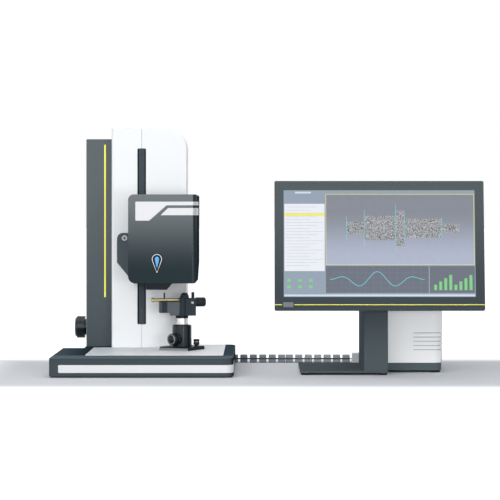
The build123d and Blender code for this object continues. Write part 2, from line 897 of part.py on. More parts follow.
# Camera body on the arm's flange, its lens hanging below it on the optical axis
with BuildPart() as camera_body:
    with BuildSketch(Plane.XY.offset(camera_low)) as plan:
        area(axis_x - camera_w / 2, axis_x + camera_w / 2, axis_y - camera_w / 2, flange_y - 8)
        fillet(plan.vertices(), 5)
    extrude(amount=camera_h)
    with BuildSketch(facing_left(axis_x - camera_w / 2)):
        with Locations((-axis_y, camera_low + camera_h / 2)):
            with GridLocations(0, 10, 1, 6):
                Rectangle(camera_w - 14, 4)
    extrude(amount=-4, mode=Mode.SUBTRACT)
camera_body.part.label = "camera_body"
export_step(camera_body.part, "parts/camera_body.step")

with BuildPart() as lens_barrel:
    with BuildSketch(Plane(origin=(axis_x, axis_y, 0), x_dir=(1, 0, 0), z_dir=(0, -1, 0))):
        with BuildLine():
            Polyline(
                (0, lens_low + 6),
                (lens_bore_r, lens_low + 3),
                (lens_bore_r, lens_low),
                (lens_r, lens_low),
                (lens_r, lens_low + 40),
                (lens_r - 3, lens_low + 44),
                (lens_r - 3, camera_low - 30),
                (lens_r - 10, camera_low - 16),
                (lens_r - 10, camera_low),
                (0, camera_low),
                close=True,
            )
        make_face()
    revolve(axis=Axis((axis_x, axis_y, 0), (0, 0, 1)))
lens_barrel.part.label = "lens_barrel"
export_step(lens_barrel.part, "parts/lens_barrel.step")

# Light housing: a bored block below the head, cut back on its right
with BuildPart() as light_housing:
    with BuildSketch(Plane.XY.offset(light_low)) as plan:
        area(light_left, light_right, axis_y - light_half_depth, axis_y + light_half_depth)
        fillet(plan.vertices(), 10)
    extrude(amount=head_low - light_low)
    with BuildSketch(facing_front(axis_y - light_half_depth - 1)) as side:
        with BuildLine():
            Polyline(
                (light_left, head_low),
                (light_left, light_low),
                (light_right_low, light_low),
                (light_right, head_low),
                close=True,
            )
        make_face()
        fillet(side.vertices().group_by(Axis.Y)[0], 3)
    extrude(amount=-(2 * light_half_depth + 2), mode=Mode.INTERSECT)
    with BuildSketch(Plane.XY.offset(head_low)):
        with Locations((axis_x, axis_y)):
            Circle(lens_r)
    extrude(amount=lens_low - head_low)
    with BuildSketch(Plane.XY.offset(light_low)):
        with Locations((axis_x, axis_y)):
            Circle(light_bore_r)
    extrude(amount=lens_low - light_low, mode=Mode.SUBTRACT)
light_housing.part.label = "light_housing"
export_step(light_housing.part, "parts/light_housing.step")

# Side bracket: a cranked plate bolted to the arm behind the head
with BuildPart() as side_bracket:
    bracket_right = slot_x - arm_t / 2
    with BuildSketch(facing_front(bracket_y)):
        with BuildLine():
            Polyline(
                (bracket_left, bracket_low_z),
                (bracket_left, bracket_top),
                (bracket_right, bracket_top),
                (bracket_right, bracket_tip_z),
                (head_left + 1, bracket_tip_z),
                close=True,
            )
        outline = make_face()
        fillet(outline.vertices().group_by(Axis.Y)[-1].sort_by(Axis.X)[0], bracket_corner_r)
    extrude(amount=-bracket_t)
    with BuildSketch(facing_front(bracket_y)):
        area(bracket_left, bracket_right, bracket_step_z, bracket_top)
    extrude(amount=-bracket_step, mode=Mode.SUBTRACT)
side_bracket.part.label = "side_bracket"
export_step(side_bracket.part, "parts/side_bracket.step")

with BuildPart() as bracket_screw:
    for screw_h, socket_r in ((4.0, bracket_screw_r / 2), (1.0, 0)):
        with BuildSketch(facing_front(bracket_y + bracket_step)):
            with Locations((bracket_screw_x, bracket_screw_z)):
                Circle(bracket_screw_r)
                if socket_r:
                    RegularPolygon(socket_r, 6, mode=Mode.SUBTRACT)
        extrude(amount=screw_h)
bracket_screw.part.label = "bracket_screw"
export_step(bracket_screw.part, "parts/bracket_screw.step")


def fixture_plane(z):
    """Level plane at height z, turned with the fixture's plates about the post."""
    turn = radians(fixture_yaw)
    return Plane(origin=(post_x, post_y, z), x_dir=(cos(turn), sin(turn), 0), z_dir=(0, 0, 1))


def tool_plane(z):
    """Level plane at height z with its X along the sample tool."""
    turn = radians(tool_yaw)
    return Plane(origin=(post_x, post_y, z), x_dir=(cos(turn), sin(turn), 0), z_dir=(0, 0, 1))


clamp_turn = radians(clamp_heading)
clamp_dir = (cos(clamp_turn), sin(clamp_turn), 0)
upper_low = stage_top + lower_t
upper_top = upper_low + upper_t


def clamp_plane(reach):
    """Upright plane facing along the clamp knob's axis, at reach from the post's centre."""
    origin = (post_x + reach * clamp_dir[0], post_y + reach * clamp_dir[1], clamp_z)
    return Plane(origin=origin, x_dir=(0, 0, 1), z_dir=clamp_dir)


with BuildPart() as fixture_lower_plate:
    with BuildSketch(fixture_plane(stage_top)) as plan:
        Rectangle(plate_w, plate_w)
        fillet(plan.vertices(), plate_corner_r)
    extrude(amount=lower_t)
fixture_lower_plate.part.label = "fixture_lower_plate"
export_step(fixture_lower_plate.part, "parts/fixture_lower_plate.step")

with BuildPart() as fixture_upper_plate:
    with BuildSketch(fixture_plane(upper_low)) as plan:
        Rectangle(plate_w - 2 * upper_inset, plate_w - 2 * upper_inset)
        fillet(plan.vertices(), plate_corner_r)
        with Locations((lock_a, lock_b)):
            Circle(lock_stem_r + running_gap, mode=Mode.SUBTRACT)
    extrude(amount=upper_t)
    chamfer(fixture_upper_plate.faces().sort_by(Axis.Z)[-1].edges().filter_by(GeomType.LINE), 0.8)
fixture_upper_plate.part.label = "fixture_upper_plate"
export_step(fixture_upper_plate.part, "parts/fixture_upper_plate.step")


def knurl(radius, depth, count):
    """Notches round the rim of the current sketch."""
    with PolarLocations(radius, count):
        Circle(depth, mode=Mode.SUBTRACT)


with BuildPart() as lock_knob:
    with BuildSketch(fixture_plane(upper_top + 4)):
        with Locations((lock_a, lock_b)):
            Circle(lock_r)
            knurl(lock_r, 0.7, 16)
    extrude(amount=lock_h)
    with BuildSketch(fixture_plane(upper_top + 4 + lock_groove_z)):
        with Locations((lock_a, lock_b)):
            Circle(lock_r + 1)
            Circle(lock_r - 1.6, mode=Mode.SUBTRACT)
    extrude(amount=lock_groove_h, mode=Mode.SUBTRACT)
    with BuildSketch(fixture_plane(upper_low + free_gap)):
        with Locations((lock_a, lock_b)):
            Circle(lock_stem_r)
    extrude(amount=upper_t + 4 - free_gap)
    with BuildSketch(fixture_plane(upper_top + free_gap)):
        with Locations((lock_a, lock_b)):
            Circle(lock_stem_r + 2)
    extrude(amount=4 - free_gap)
lock_knob.part.label = "lock_knob"
export_step(lock_knob.part, "parts/lock_knob.step")

# Post: a bored drum with a rounded top and a boss for the clamp screw
with BuildPart() as fixture_post:
    with BuildSketch(fixture_plane(upper_top)):
        Circle(post_r)
    extrude(amount=post_top - upper_top)
    fillet(fixture_post.edges().sort_by(Axis.Z)[-1], 5)
    with BuildSketch(clamp_plane(spindle_r + 2)):
        Circle(boss_r)
    extrude(amount=boss_out - spindle_r - 2)
    fillet(fixture_post.faces().filter_by(GeomType.PLANE).sort_by(Axis(origin=(0, 0, 0), direction=clamp_dir))[-1]
           .edges(), 1.5)
    with BuildSketch(fixture_plane(post_top)):
        Circle(spindle_r + running_gap)
    extrude(amount=-(spindle_depth + free_gap), mode=Mode.SUBTRACT)
    with BuildSketch(clamp_plane(spindle_r - 4)):
        Circle(clamp_pin_r + running_gap)
    extrude(amount=boss_out - spindle_r + 4, mode=Mode.SUBTRACT)
fixture_post.part.label = "fixture_post"
export_step(fixture_post.part, "parts/fixture_post.step")

# Clamp knob: a turned knob with two rings and a dished face, on its pin
clamp_centre = (post_x, post_y, clamp_z)
with BuildPart() as clamp_knob:
    with BuildSketch(lathe_plane(clamp_centre, clamp_dir)):
        with BuildLine():
            Polyline(
                (0, spindle_r + free_gap),
                (clamp_pin_r, spindle_r + free_gap),
                (clamp_pin_r, boss_out + free_gap),
                (clamp_r - 4, boss_out + free_gap),
                (clamp_r - 4, boss_out + 4),
                (clamp_r, boss_out + 5.5),
                (clamp_r, clamp_out - 2),
                (clamp_r - 2, clamp_out),
                (clamp_r - 4, clamp_out),
                (clamp_r - 5, clamp_out - 1.5),
                (0, clamp_out - 1.5),
                close=True,
            )
        make_face()
        with Locations((clamp_r, boss_out + 8), (clamp_r, clamp_out - 4)):
            Rectangle(1.2, 1.4, mode=Mode.SUBTRACT)
    revolve(axis=Axis(clamp_centre, clamp_dir))
clamp_knob.part.label = "clamp_knob"
export_step(clamp_knob.part, "parts/clamp_knob.step")

# Spindle turning in the post, with its foot flange and the collar under the block
with BuildPart() as spindle:
    with BuildSketch(fixture_plane(post_top - spindle_depth)):
        Circle(spindle_r)
    extrude(amount=spindle_top - post_top + spindle_depth)
    with BuildSketch(fixture_plane(post_top + free_gap)):
        Circle(spindle_flange_r)
    extrude(amount=spindle_flange_t)
    chamfer(spindle.edges().filter_by(GeomType.CIRCLE).filter_by(
        lambda edge: edge.radius > spindle_r + 1), 0.8)
spindle.part.label = "spindle"
export_step(spindle.part, "parts/spindle.step")

with BuildPart() as spindle_collar:
    with BuildSketch(fixture_plane(spindle_top)):
        Circle(spindle_flange_r)
    extrude(amount=collar_h)
    chamfer(spindle_collar.edges().filter_by(GeomType.CIRCLE), 0.6)
spindle_collar.part.label = "spindle_collar"
export_step(spindle_collar.part, "parts/spindle_collar.step")

# Main block, bored for the sample tool and for the stem of the knurled knob
block_low = spindle_top + collar_h


def tool_section(x, z):
    """Upright plane across the tool's line, at x along it and at height z."""
    turn = radians(tool_yaw)
    along = (cos(turn), sin(turn), 0)
    origin = (post_x + x * along[0], post_y + x * along[1], z)
    return Plane(origin=origin, x_dir=(0, 0, 1), z_dir=along)


with BuildPart() as main_block:
    with BuildSketch(tool_plane(block_low)) as plan:
        area(block_left, block_right, -block_depth / 2, block_depth / 2)
        with Locations((0, 0)):
            Circle(spindle_flange_r)
    extrude(amount=block_top - block_low)
    with BuildSketch(tool_plane(block_top)):
        area(-spindle_flange_r - 2, block_left, -spindle_flange_r - 2, spindle_flange_r + 2)
    extrude(amount=-(block_top - block_low - 6), mode=Mode.SUBTRACT)
    with BuildSketch(tool_section(block_left - 1, tool_z)):
        Circle(tool_r + running_gap)
    extrude(amount=tool_tail + free_gap - block_left + 1, mode=Mode.SUBTRACT)
    with BuildSketch(tool_section(barrel_stem_from - free_gap, barrel_z)):
        Circle(barrel_stem_r + running_gap)
    extrude(amount=block_right - barrel_stem_from + free_gap, mode=Mode.SUBTRACT)
main_block.part.label = "main_block"
export_step(main_block.part, "parts/main_block.step")

# Jaw with a shallow vee along its top that steadies the tool, and a faceted front
with BuildPart() as vee_jaw:
    with BuildSketch(tool_plane(jaw_low)):
        with BuildLine():
            Polyline(
                (block_left, -jaw_depth / 2),
                (block_left, jaw_depth / 2),
                (jaw_left, jaw_depth / 2),
                (jaw_left, jaw_nose - jaw_depth / 2),
                (jaw_left + jaw_nose, -jaw_depth / 2),
                (jaw_valley, jaw_valley_depth - jaw_depth / 2),
                close=True,
            )
        make_face()
    extrude(amount=jaw_top - jaw_low)
    with BuildSketch(tool_plane(jaw_low)):
        area(jaw_left - 1, jaw_mid_left, -jaw_depth, jaw_depth)
    extrude(amount=jaw_step_low - jaw_low, mode=Mode.SUBTRACT)
    with BuildSketch(tool_plane(jaw_low)):
        Circle(spindle_flange_r + free_gap)
    extrude(amount=jaw_step_low - jaw_low, mode=Mode.SUBTRACT)
    with BuildSketch(tool_section(jaw_left - 1, tool_z)):
        with BuildLine():
            Polyline((-vee_depth, 0), (vee_depth, 2 * vee_depth), (vee_depth, -2 * vee_depth), close=True)
        make_face()
    extrude(amount=block_left - jaw_left + 1, mode=Mode.SUBTRACT)
vee_jaw.part.label = "vee_jaw"
export_step(vee_jaw.part, "parts/vee_jaw.step")

# Sample tool: a plain round shank with a ground tip
with BuildPart() as sample_tool:
    with BuildSketch(tool_section(tool_tip + 2, tool_z)):
        Circle(tool_r)
    extrude(amount=tool_tail - tool_tip - 2)
    with BuildSketch(tool_section(tool_tip, tool_z)):
        Circle(tool_head_r)
    extrude(amount=tool_head_len)
    fillet(sample_tool.edges().filter_by(GeomType.CIRCLE).sort_by(Axis.X)[0], 3.5)
sample_tool.part.label = "sample_tool"
export_step(sample_tool.part, "parts/sample_tool.step")

with BuildPart() as barrel_knob:
    with BuildSketch(tool_section(barrel_left, barrel_z)):
        Circle(barrel_r)
        knurl(barrel_r, 0.8, 24)
    extrude(amount=barrel_right - barrel_left - barrel_edge)
    with BuildSketch(tool_section(barrel_right - barrel_edge, barrel_z)):
        Circle(barrel_r - 0.8)
    extrude(amount=barrel_edge, taper=40)
    with BuildSketch(tool_section(barrel_stem_from, barrel_z)):
        Circle(barrel_stem_r)
    extrude(amount=barrel_left - barrel_stem_from)
barrel_knob.part.label = "barrel_knob"
export_step(barrel_knob.part, "parts/barrel_knob.step")

# Cap nut and guide post on the block, its set screw in front, and the thin stop pin on the jaw
with BuildPart() as fixture_screws:
    with BuildSketch(tool_plane(block_top)):
        with Locations((cap_x, 0)):
            RegularPolygon(cap_r, 6)
    extrude(amount=cap_h)
    with BuildSketch(tool_plane(block_top + cap_h)):
        with Locations((cap_x, 0)):
            Circle(cap_r + 3)
            Circle(cap_r / 2, mode=Mode.SUBTRACT)
    extrude(amount=-cap_h / 2, taper=-40, mode=Mode.SUBTRACT)
    with BuildSketch(tool_plane(block_top)):
        with Locations((guide_x, guide_y)):
            Circle(guide_r)
    extrude(amount=guide_h)
    with BuildSketch(tool_plane(jaw_top)):
        with Locations((stop_x, stop_y)):
            Circle(stop_r)
    extrude(amount=stop_h)
    front_of_block = Plane(origin=tool_plane(set_screw_z).from_local_coords((set_screw_x, -block_depth / 2, 0)),
                           x_dir=tool_plane(0).x_dir, z_dir=-tool_plane(0).y_dir)
    with BuildSketch(front_of_block):
        Circle(set_screw_r)
        RegularPolygon(set_screw_r / 2, 6, mode=Mode.SUBTRACT)
    extrude(amount=1.2)
fixture_screws.part.label = "fixture_screws"
export_step(fixture_screws.part, "parts/fixture_screws.step")

# Monitor, modelled in its own leaning plane that starts at the lower front edge
monitor_x = overall_w / 2 - monitor_w / 2
lean = radians(monitor_tilt)


def screen_plane(depth):
    """Leaning plane at depth behind the monitor's face: X across, Y up the face."""
    origin = (monitor_x, front_y + depth * cos(lean), monitor_low - depth * sin(lean))
    return Plane(origin=origin, x_dir=(1, 0, 0), z_dir=(0, -cos(lean), sin(lean)))


opening_high = monitor_h - bezel_top
with BuildPart() as monitor_bezel:
    with BuildSketch(screen_plane(0)) as outline:
        area(-monitor_w / 2, monitor_w / 2, 0, monitor_h)
        fillet(outline.vertices(), bezel_corner_r)
    extrude(amount=-bezel_t)
    with BuildSketch(screen_plane(0)):
        area(-monitor_w / 2 + bezel_side, monitor_w / 2 - bezel_side, bezel_low, opening_high)
    extrude(amount=-bezel_t, mode=Mode.SUBTRACT)
    with BuildSketch(screen_plane(bezel_lip)):
        area(-monitor_w / 2 + bezel_side - panel_lap, monitor_w / 2 - bezel_side + panel_lap,
             bezel_low - panel_lap, opening_high + panel_lap)
    extrude(amount=-(bezel_t - bezel_lip), mode=Mode.SUBTRACT)
    with BuildSketch(screen_plane(0)):
        area(-monitor_w / 2 - 1, monitor_w / 2 + 1, trim_z - trim_h / 2, trim_z + trim_h / 2)
    extrude(amount=-0.8, mode=Mode.SUBTRACT)
monitor_bezel.part.label = "monitor_bezel"
export_step(monitor_bezel.part, "parts/monitor_bezel.step")

with BuildPart() as screen_panel:
    with BuildSketch(screen_plane(bezel_lip)):
        area(-monitor_w / 2 + bezel_side - panel_lap, monitor_w / 2 - bezel_side + panel_lap,
             bezel_low - panel_lap, opening_high + panel_lap)
    extrude(amount=-panel_t)
screen_panel.part.label = "screen_panel"
export_step(screen_panel.part, "parts/screen_panel.step")

with BuildPart() as monitor_trim:
    with BuildSketch(screen_plane(0)):
        area(-monitor_w / 2, monitor_w / 2, trim_z - trim_h / 2, trim_z + trim_h / 2)
    extrude(amount=-0.8)
monitor_trim.part.label = "monitor_trim"
export_step(monitor_trim.part, "parts/monitor_trim.step")

# Back cover: a drafted tray with a raised middle that carries the stand
with BuildPart() as monitor_back:
    with BuildSketch(screen_plane(bezel_t)) as outline:
        area(-monitor_w / 2, monitor_w / 2, 0, monitor_h)
        fillet(outline.vertices(), bezel_corner_r)
    with BuildSketch(screen_plane(bezel_t + back_t)) as outline:
        area(-monitor_w / 2 + back_draft, monitor_w / 2 - back_draft, back_draft, monitor_h - back_draft)
        fillet(outline.vertices(), bezel_corner_r)
    loft()
    with BuildSketch(screen_plane(bezel_t + back_t)) as outline:
        with Locations((0, monitor_h / 2)):
            Rectangle(hump_w, hump_h)
        fillet(outline.vertices(), 12)
    extrude(amount=-hump_t, taper=20)
    with BuildSketch(screen_plane(bezel_t)):
        with Locations((0, monitor_h / 2)):
            Rectangle(monitor_w - 2 * back_draft - 2 * back_wall, monitor_h - 2 * back_draft - 2 * back_wall)
    extrude(amount=-(back_t - back_wall), mode=Mode.SUBTRACT)
    with BuildSketch(screen_plane(bezel_t + back_t)):
        with Locations((0, monitor_h - 44)):
            with GridLocations(14, 0, 18, 1):
                Rectangle(5, 30)
    extrude(amount=back_wall + 1, mode=Mode.SUBTRACT)
monitor_back.part.label = "monitor_back"
export_step(monitor_back.part, "parts/monitor_back.step")

# Tilt hinge: a clevis on the back cover, a lug on the slab and the pin through both
back_depth = bezel_t + back_t + hump_t
hinge_up = (hinge_z - monitor_low) / cos(lean)
back_face_y = front_y + hinge_up * sin(lean) + back_depth / cos(lean)
hinge_y = (back_face_y + slab_front) / 2
hinge_span = 56.0
ear_t = 8.0
ear_r = 14.0
hinge_plane = Plane(origin=(monitor_x, hinge_y, hinge_z), x_dir=(0, -1, 0), z_dir=(-1, 0, 0))
with BuildPart() as tilt_bracket:
    with BuildSketch(screen_plane(back_depth)) as plate:
        with Locations((0, hinge_up - back_depth * sin(lean) / cos(lean))):
            Rectangle(110, 110)
        fillet(plate.vertices(), 8)
    extrude(amount=-4)
    for side in (-1, 1):
        with BuildSketch(hinge_plane.offset(side * (hinge_span - ear_t) / 2)):
            with BuildLine():
                Polyline(
                    (hinge_y - back_face_y + 2, -22),
                    (hinge_y - back_face_y - 4, 22),
                    (0, ear_r),
                    (0, -ear_r),
                    close=True,
                )
            make_face()
            Circle(ear_r)
            Circle(hinge_r + running_gap, mode=Mode.SUBTRACT)
        extrude(amount=ear_t / 2, both=True)
tilt_bracket.part.label = "tilt_bracket"
export_step(tilt_bracket.part, "parts/tilt_bracket.step")

with BuildPart() as hinge_pin:
    with BuildSketch(hinge_plane.offset(-hinge_span / 2 - 4)):
        Circle(hinge_r)
    extrude(amount=hinge_span + 8)
    with BuildSketch(hinge_plane.offset(-hinge_span / 2 - 4)):
        Circle(hinge_r + 3)
    extrude(amount=3)
    with BuildSketch(hinge_plane.offset(hinge_span / 2 + 1)):
        Circle(hinge_r + 3)
    extrude(amount=3)
hinge_pin.part.label = "hinge_pin"
export_step(hinge_pin.part, "parts/hinge_pin.step")

with BuildPart() as hinge_lug:
    lug_w = hinge_span - 2 * ear_t - 2 * free_gap
    with BuildSketch(hinge_plane.offset(-lug_w / 2)):
        with BuildLine():
            Polyline((0, ear_r), (0, -ear_r), (hinge_y - slab_front, -24), (hinge_y - slab_front, 24), close=True)
        make_face()
        Circle(ear_r)
        Circle(hinge_r, mode=Mode.SUBTRACT)
    extrude(amount=lug_w)
hinge_lug.part.label = "hinge_lug"
export_step(hinge_lug.part, "parts/hinge_lug.step")

with BuildPart() as post_slab:
    with BuildSketch(Plane.XY.offset(plate_top)) as plan:
        area(slab_left, slab_right, slab_front, slab_rear)
        fillet(plan.vertices(), 3)
    extrude(amount=slab_top - plate_top)
    chamfer(post_slab.faces().sort_by(Axis.Z)[-1].edges(), 1.5)
    with BuildSketch(Plane.XY.offset(plate_top)):
        area(slab_left + slab_wall, slab_right - slab_wall, slab_front + slab_wall, slab_rear - slab_wall)
    extrude(amount=slab_top - plate_top - slab_wall, mode=Mode.SUBTRACT)
post_slab.part.label = "post_slab"
export_step(post_slab.part, "parts/post_slab.step")

with BuildPart() as foot_plate:
    with BuildSketch(Plane.XY.offset(plate_low)) as plan:
        area(plate_left, slab_right, slab_front, slab_rear)
        fillet(plan.vertices(), 4)
    extrude(amount=plate_t)
    chamfer(foot_plate.faces().sort_by(Axis.Z)[-1].edges(), 1)
foot_plate.part.label = "foot_plate"
export_step(foot_plate.part, "parts/foot_plate.step")

# Controller: a tall cover with vent slots round its front right corner, on a plinth
with BuildPart() as controller_cover:
    with BuildSketch(Plane.XY.offset(plinth_top)) as plan:
        area(slab_right, controller_right, controller_front, controller_front + controller_depth)
        fillet(plan.vertices().group_by(Axis.Y)[0].sort_by(Axis.X)[-1], controller_corner_r)
    extrude(amount=controller_top - plinth_top)
    chamfer(controller_cover.faces().sort_by(Axis.Z)[-1].edges(), 2)
    with BuildSketch(Plane.XY.offset(plinth_top)) as hollow:
        area(slab_right + controller_wall, controller_right - controller_wall,
             controller_front + controller_wall, controller_front + controller_depth - controller_wall)
        inner_corner = hollow.vertices().group_by(Axis.Y)[0].sort_by(Axis.X)[-1]
        fillet(inner_corner, controller_corner_r - controller_wall)
    extrude(amount=controller_top - controller_wall - plinth_top, mode=Mode.SUBTRACT)
    for i in range(vent_count):
        with BuildSketch(Plane.XY.offset(vent_top - i * vent_pitch - vent_h / 2)):
            area(vent_left, controller_right + 1, controller_front - 1, controller_front + vent_reach)
        extrude(amount=vent_h, mode=Mode.SUBTRACT)
controller_cover.part.label = "controller_cover"
export_step(controller_cover.part, "parts/controller_cover.step")

with BuildPart() as controller_plinth:
    with BuildSketch(Plane.XY.offset(plate_low)) as plan:
        area(slab_right, controller_right - plinth_inset, controller_front + plinth_inset,
             controller_front + controller_depth)
        fillet(plan.vertices().group_by(Axis.Y)[0].sort_by(Axis.X)[-1], controller_corner_r - plinth_inset)
    extrude(amount=plinth_top - plate_low)
controller_plinth.part.label = "controller_plinth"
export_step(controller_plinth.part, "parts/controller_plinth.step")

# Rubber feet under both units
base_feet_places = [
    (base_left + base_foot_inset, base_front + base_foot_inset),
    (base_right - base_foot_inset, base_front + base_foot_inset),
    (base_right - base_foot_inset, base_rear - base_foot_inset),
    (base_left + notch_w + base_foot_inset, base_rear - base_foot_inset),
    (base_left + base_foot_inset, notch_front - base_foot_inset),
]
controller_rear = controller_front + controller_depth
unit_feet_places = [
    (plate_left + unit_foot_inset, slab_front + unit_foot_inset),
    (plate_left + unit_foot_inset, slab_rear - unit_foot_inset),
    (slab_right - unit_foot_inset, slab_front + unit_foot_inset),
    (controller_right - controller_foot_inset, controller_front + controller_foot_inset),
    (controller_right - controller_foot_inset, controller_rear - controller_foot_inset),
    (slab_right + controller_foot_inset, controller_rear - controller_foot_inset),
]
with BuildPart() as rubber_feet:
    with BuildSketch():
        with Locations(*base_feet_places):
            Circle(base_foot_r)
    extrude(amount=base_foot_h)
    with BuildSketch():
        with Locations(*unit_feet_places):
            Circle(unit_foot_r)
    extrude(amount=plate_low)
rubber_feet.part.label = "rubber_feet"
export_step(rubber_feet.part, "parts/rubber_feet.step")

# Cable spine: boxy links joined by flat necks, lying on the table behind the base
with BuildPart() as spine_links:
    link_right = spine_end - end_len - link_gap
    for i in range(link_count - 1, -1, -1):
        link_left = link_right - link_len
        gap_before = link_short_gap if i == short_gap_after else link_gap
        with BuildSketch(facing_left(link_left)) as section:
            with Locations((-spine_y, link_h / 2)):
                Rectangle(link_w, link_h)
            chamfer(section.vertices(), link_edge)
        extrude(amount=-link_len)
        for side in (-1, 1):
            with BuildSketch(Plane.XY.offset((link_h - link_seam) / 2)):
                with Locations((link_left + link_len / 2, spine_y + side * link_w / 2)):
                    Rectangle(link_len, 2 * link_seam)
            extrude(amount=link_seam, mode=Mode.SUBTRACT)
        with BuildSketch(facing_left(link_left - gap_before + link_play)):
            with Locations((-spine_y, link_h / 2)):
                Rectangle(neck_w, neck_h)
        extrude(amount=-(gap_before - link_play))
        link_right = link_left - gap_before
spine_links.part.label = "spine_links"
export_step(spine_links.part, "parts/spine_links.step")

with BuildPart() as spine_ends:
    for block_x in (link_right - end_len, spine_end - end_len):
        with BuildSketch(facing_left(block_x)) as section:
            with Locations((-spine_y, end_h / 2)):
                Rectangle(rear_y - base_rear, end_h)
            fillet(section.vertices().group_by(Axis.Y)[-1], 3)
        extrude(amount=-end_len)
    with BuildSketch(facing_left(spine_end - end_len - link_gap + link_play)):
        with Locations((-spine_y, link_h / 2)):
            Rectangle(neck_w, neck_h)
    extrude(amount=-(link_gap - link_play))
spine_ends.part.label = "spine_ends"
export_step(spine_ends.part, "parts/spine_ends.step")

with BuildPart() as cable_duct:
    with BuildSketch(facing_front(slab_rear)) as section:
        area(duct_left, slab_right, 0, duct_h)
        fillet(section.vertices().group_by(Axis.Y)[-1], 4)
    extrude(amount=-(rear_y - slab_rear))
cable_duct.part.label = "cable_duct"
export_step(cable_duct.part, "parts/cable_duct.step")
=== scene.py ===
import json
import math

import bmesh
import bpy
from mathutils import Matrix, Vector


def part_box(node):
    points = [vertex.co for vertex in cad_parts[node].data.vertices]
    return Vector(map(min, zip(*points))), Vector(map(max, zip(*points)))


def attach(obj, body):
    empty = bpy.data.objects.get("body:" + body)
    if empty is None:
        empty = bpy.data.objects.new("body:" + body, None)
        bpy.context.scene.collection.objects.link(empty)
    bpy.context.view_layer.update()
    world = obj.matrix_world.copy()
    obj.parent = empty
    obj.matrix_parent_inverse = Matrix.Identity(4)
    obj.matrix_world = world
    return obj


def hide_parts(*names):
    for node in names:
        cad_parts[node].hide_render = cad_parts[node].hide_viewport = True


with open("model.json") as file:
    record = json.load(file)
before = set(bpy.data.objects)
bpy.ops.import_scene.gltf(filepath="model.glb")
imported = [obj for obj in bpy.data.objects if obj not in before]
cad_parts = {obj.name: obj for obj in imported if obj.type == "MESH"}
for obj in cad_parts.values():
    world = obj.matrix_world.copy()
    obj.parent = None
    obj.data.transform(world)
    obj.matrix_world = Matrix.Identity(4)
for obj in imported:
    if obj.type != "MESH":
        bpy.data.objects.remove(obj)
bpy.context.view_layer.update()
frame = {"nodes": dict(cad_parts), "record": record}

MM = 0.001


# Camera: level, looking along +Y, with the photograph's vanishing point
FOCAL_PX = 1952.0
VANISH_PX = (257.0, 208.2)
IMAGE_PX = 500.0
SENSOR_MM = 36.0
EYE = Vector((-24.8, -5713.0, 475.0)) * MM

camera_data = bpy.data.cameras.new("camera")
camera_data.sensor_width = SENSOR_MM
camera_data.lens = SENSOR_MM * FOCAL_PX / IMAGE_PX
camera_data.shift_x = (IMAGE_PX / 2 - VANISH_PX[0]) / IMAGE_PX
camera_data.shift_y = (VANISH_PX[1] - IMAGE_PX / 2) / IMAGE_PX
camera_data.clip_end = 50.0
camera = bpy.data.objects.new("camera", camera_data)
camera.location = EYE
camera.rotation_euler = (math.radians(90), 0, 0)
bpy.context.scene.collection.objects.link(camera)
bpy.context.scene.camera = camera
bpy.context.scene.view_settings.view_transform = "Standard"


# Node helpers
def add_node(tree, kind, values=None, **settings):
    """Adds a shader node, with its settings, and its sockets set or linked."""
    made = tree.nodes.new(kind)
    for name, value in settings.items():
        setattr(made, name, value)
    for socket, value in (values or {}).items():
        if isinstance(value, bpy.types.NodeSocket):
            tree.links.new(value, made.inputs[socket])
        else:
            made.inputs[socket].default_value = value
    return made


def maths(tree, operation, first, second=0.0):
    """The result of an operation on one or two values."""
    return add_node(tree, "ShaderNodeMath", {0: first, 1: second}, operation=operation).outputs[0]


def scaled(tree, colour, gain):
    """A colour times a value."""
    return add_node(tree, "ShaderNodeVectorMath", {0: colour, "Scale": gain}, operation="SCALE").outputs[0]


def noise(tree, vector, scale, detail=2.0, roughness=0.5):
    """Cloudy noise, from 0 to 1, over a vector."""
    wanted = {"Vector": vector, "Scale": scale, "Detail": detail, "Roughness": roughness}
    return add_node(tree, "ShaderNodeTexNoise", wanted).outputs["Fac"]


def ramp(tree, value, start, end, low=0.0, high=1.0, kind="LINEAR"):
    """A value that runs from low to high as another goes from start to end."""
    wanted = {"Value": value, "From Min": start, "From Max": end, "To Min": low, "To Max": high}
    return add_node(tree, "ShaderNodeMapRange", wanted, interpolation_type=kind).outputs[0]


def mixed_colour(tree, factor, first, second):
    """A colour between two colours."""
    wanted = {"Factor": factor, "A": first, "B": second}
    return add_node(tree, "ShaderNodeMix", wanted, data_type="RGBA").outputs["Result"]


def new_group(name, inputs, outputs):
    """A shader node group with named sockets: returns its tree, its inputs and its output node."""
    tree = bpy.data.node_groups.new(name, "ShaderNodeTree")
    for label, kind, value in inputs:
        socket = tree.interface.new_socket(label, in_out="INPUT", socket_type=kind)
        if value is not None:
            socket.default_value = value
    for label, kind in outputs:
        tree.interface.new_socket(label, in_out="OUTPUT", socket_type=kind)
    entry = tree.nodes.new("NodeGroupInput")
    leave = tree.nodes.new("NodeGroupOutput")
    return tree, entry.outputs, leave


# Effects that several finishes share
SKIN_OUTPUTS = [
    ("Colour", "NodeSocketColor"),
    ("Roughness", "NodeSocketFloat"),
    ("Height", "NodeSocketFloat"),
]
CLOUD_SCALE = 7.0
DUST_SCALE = 30.0
DUST_COLOUR = (0.55, 0.54, 0.52, 1)


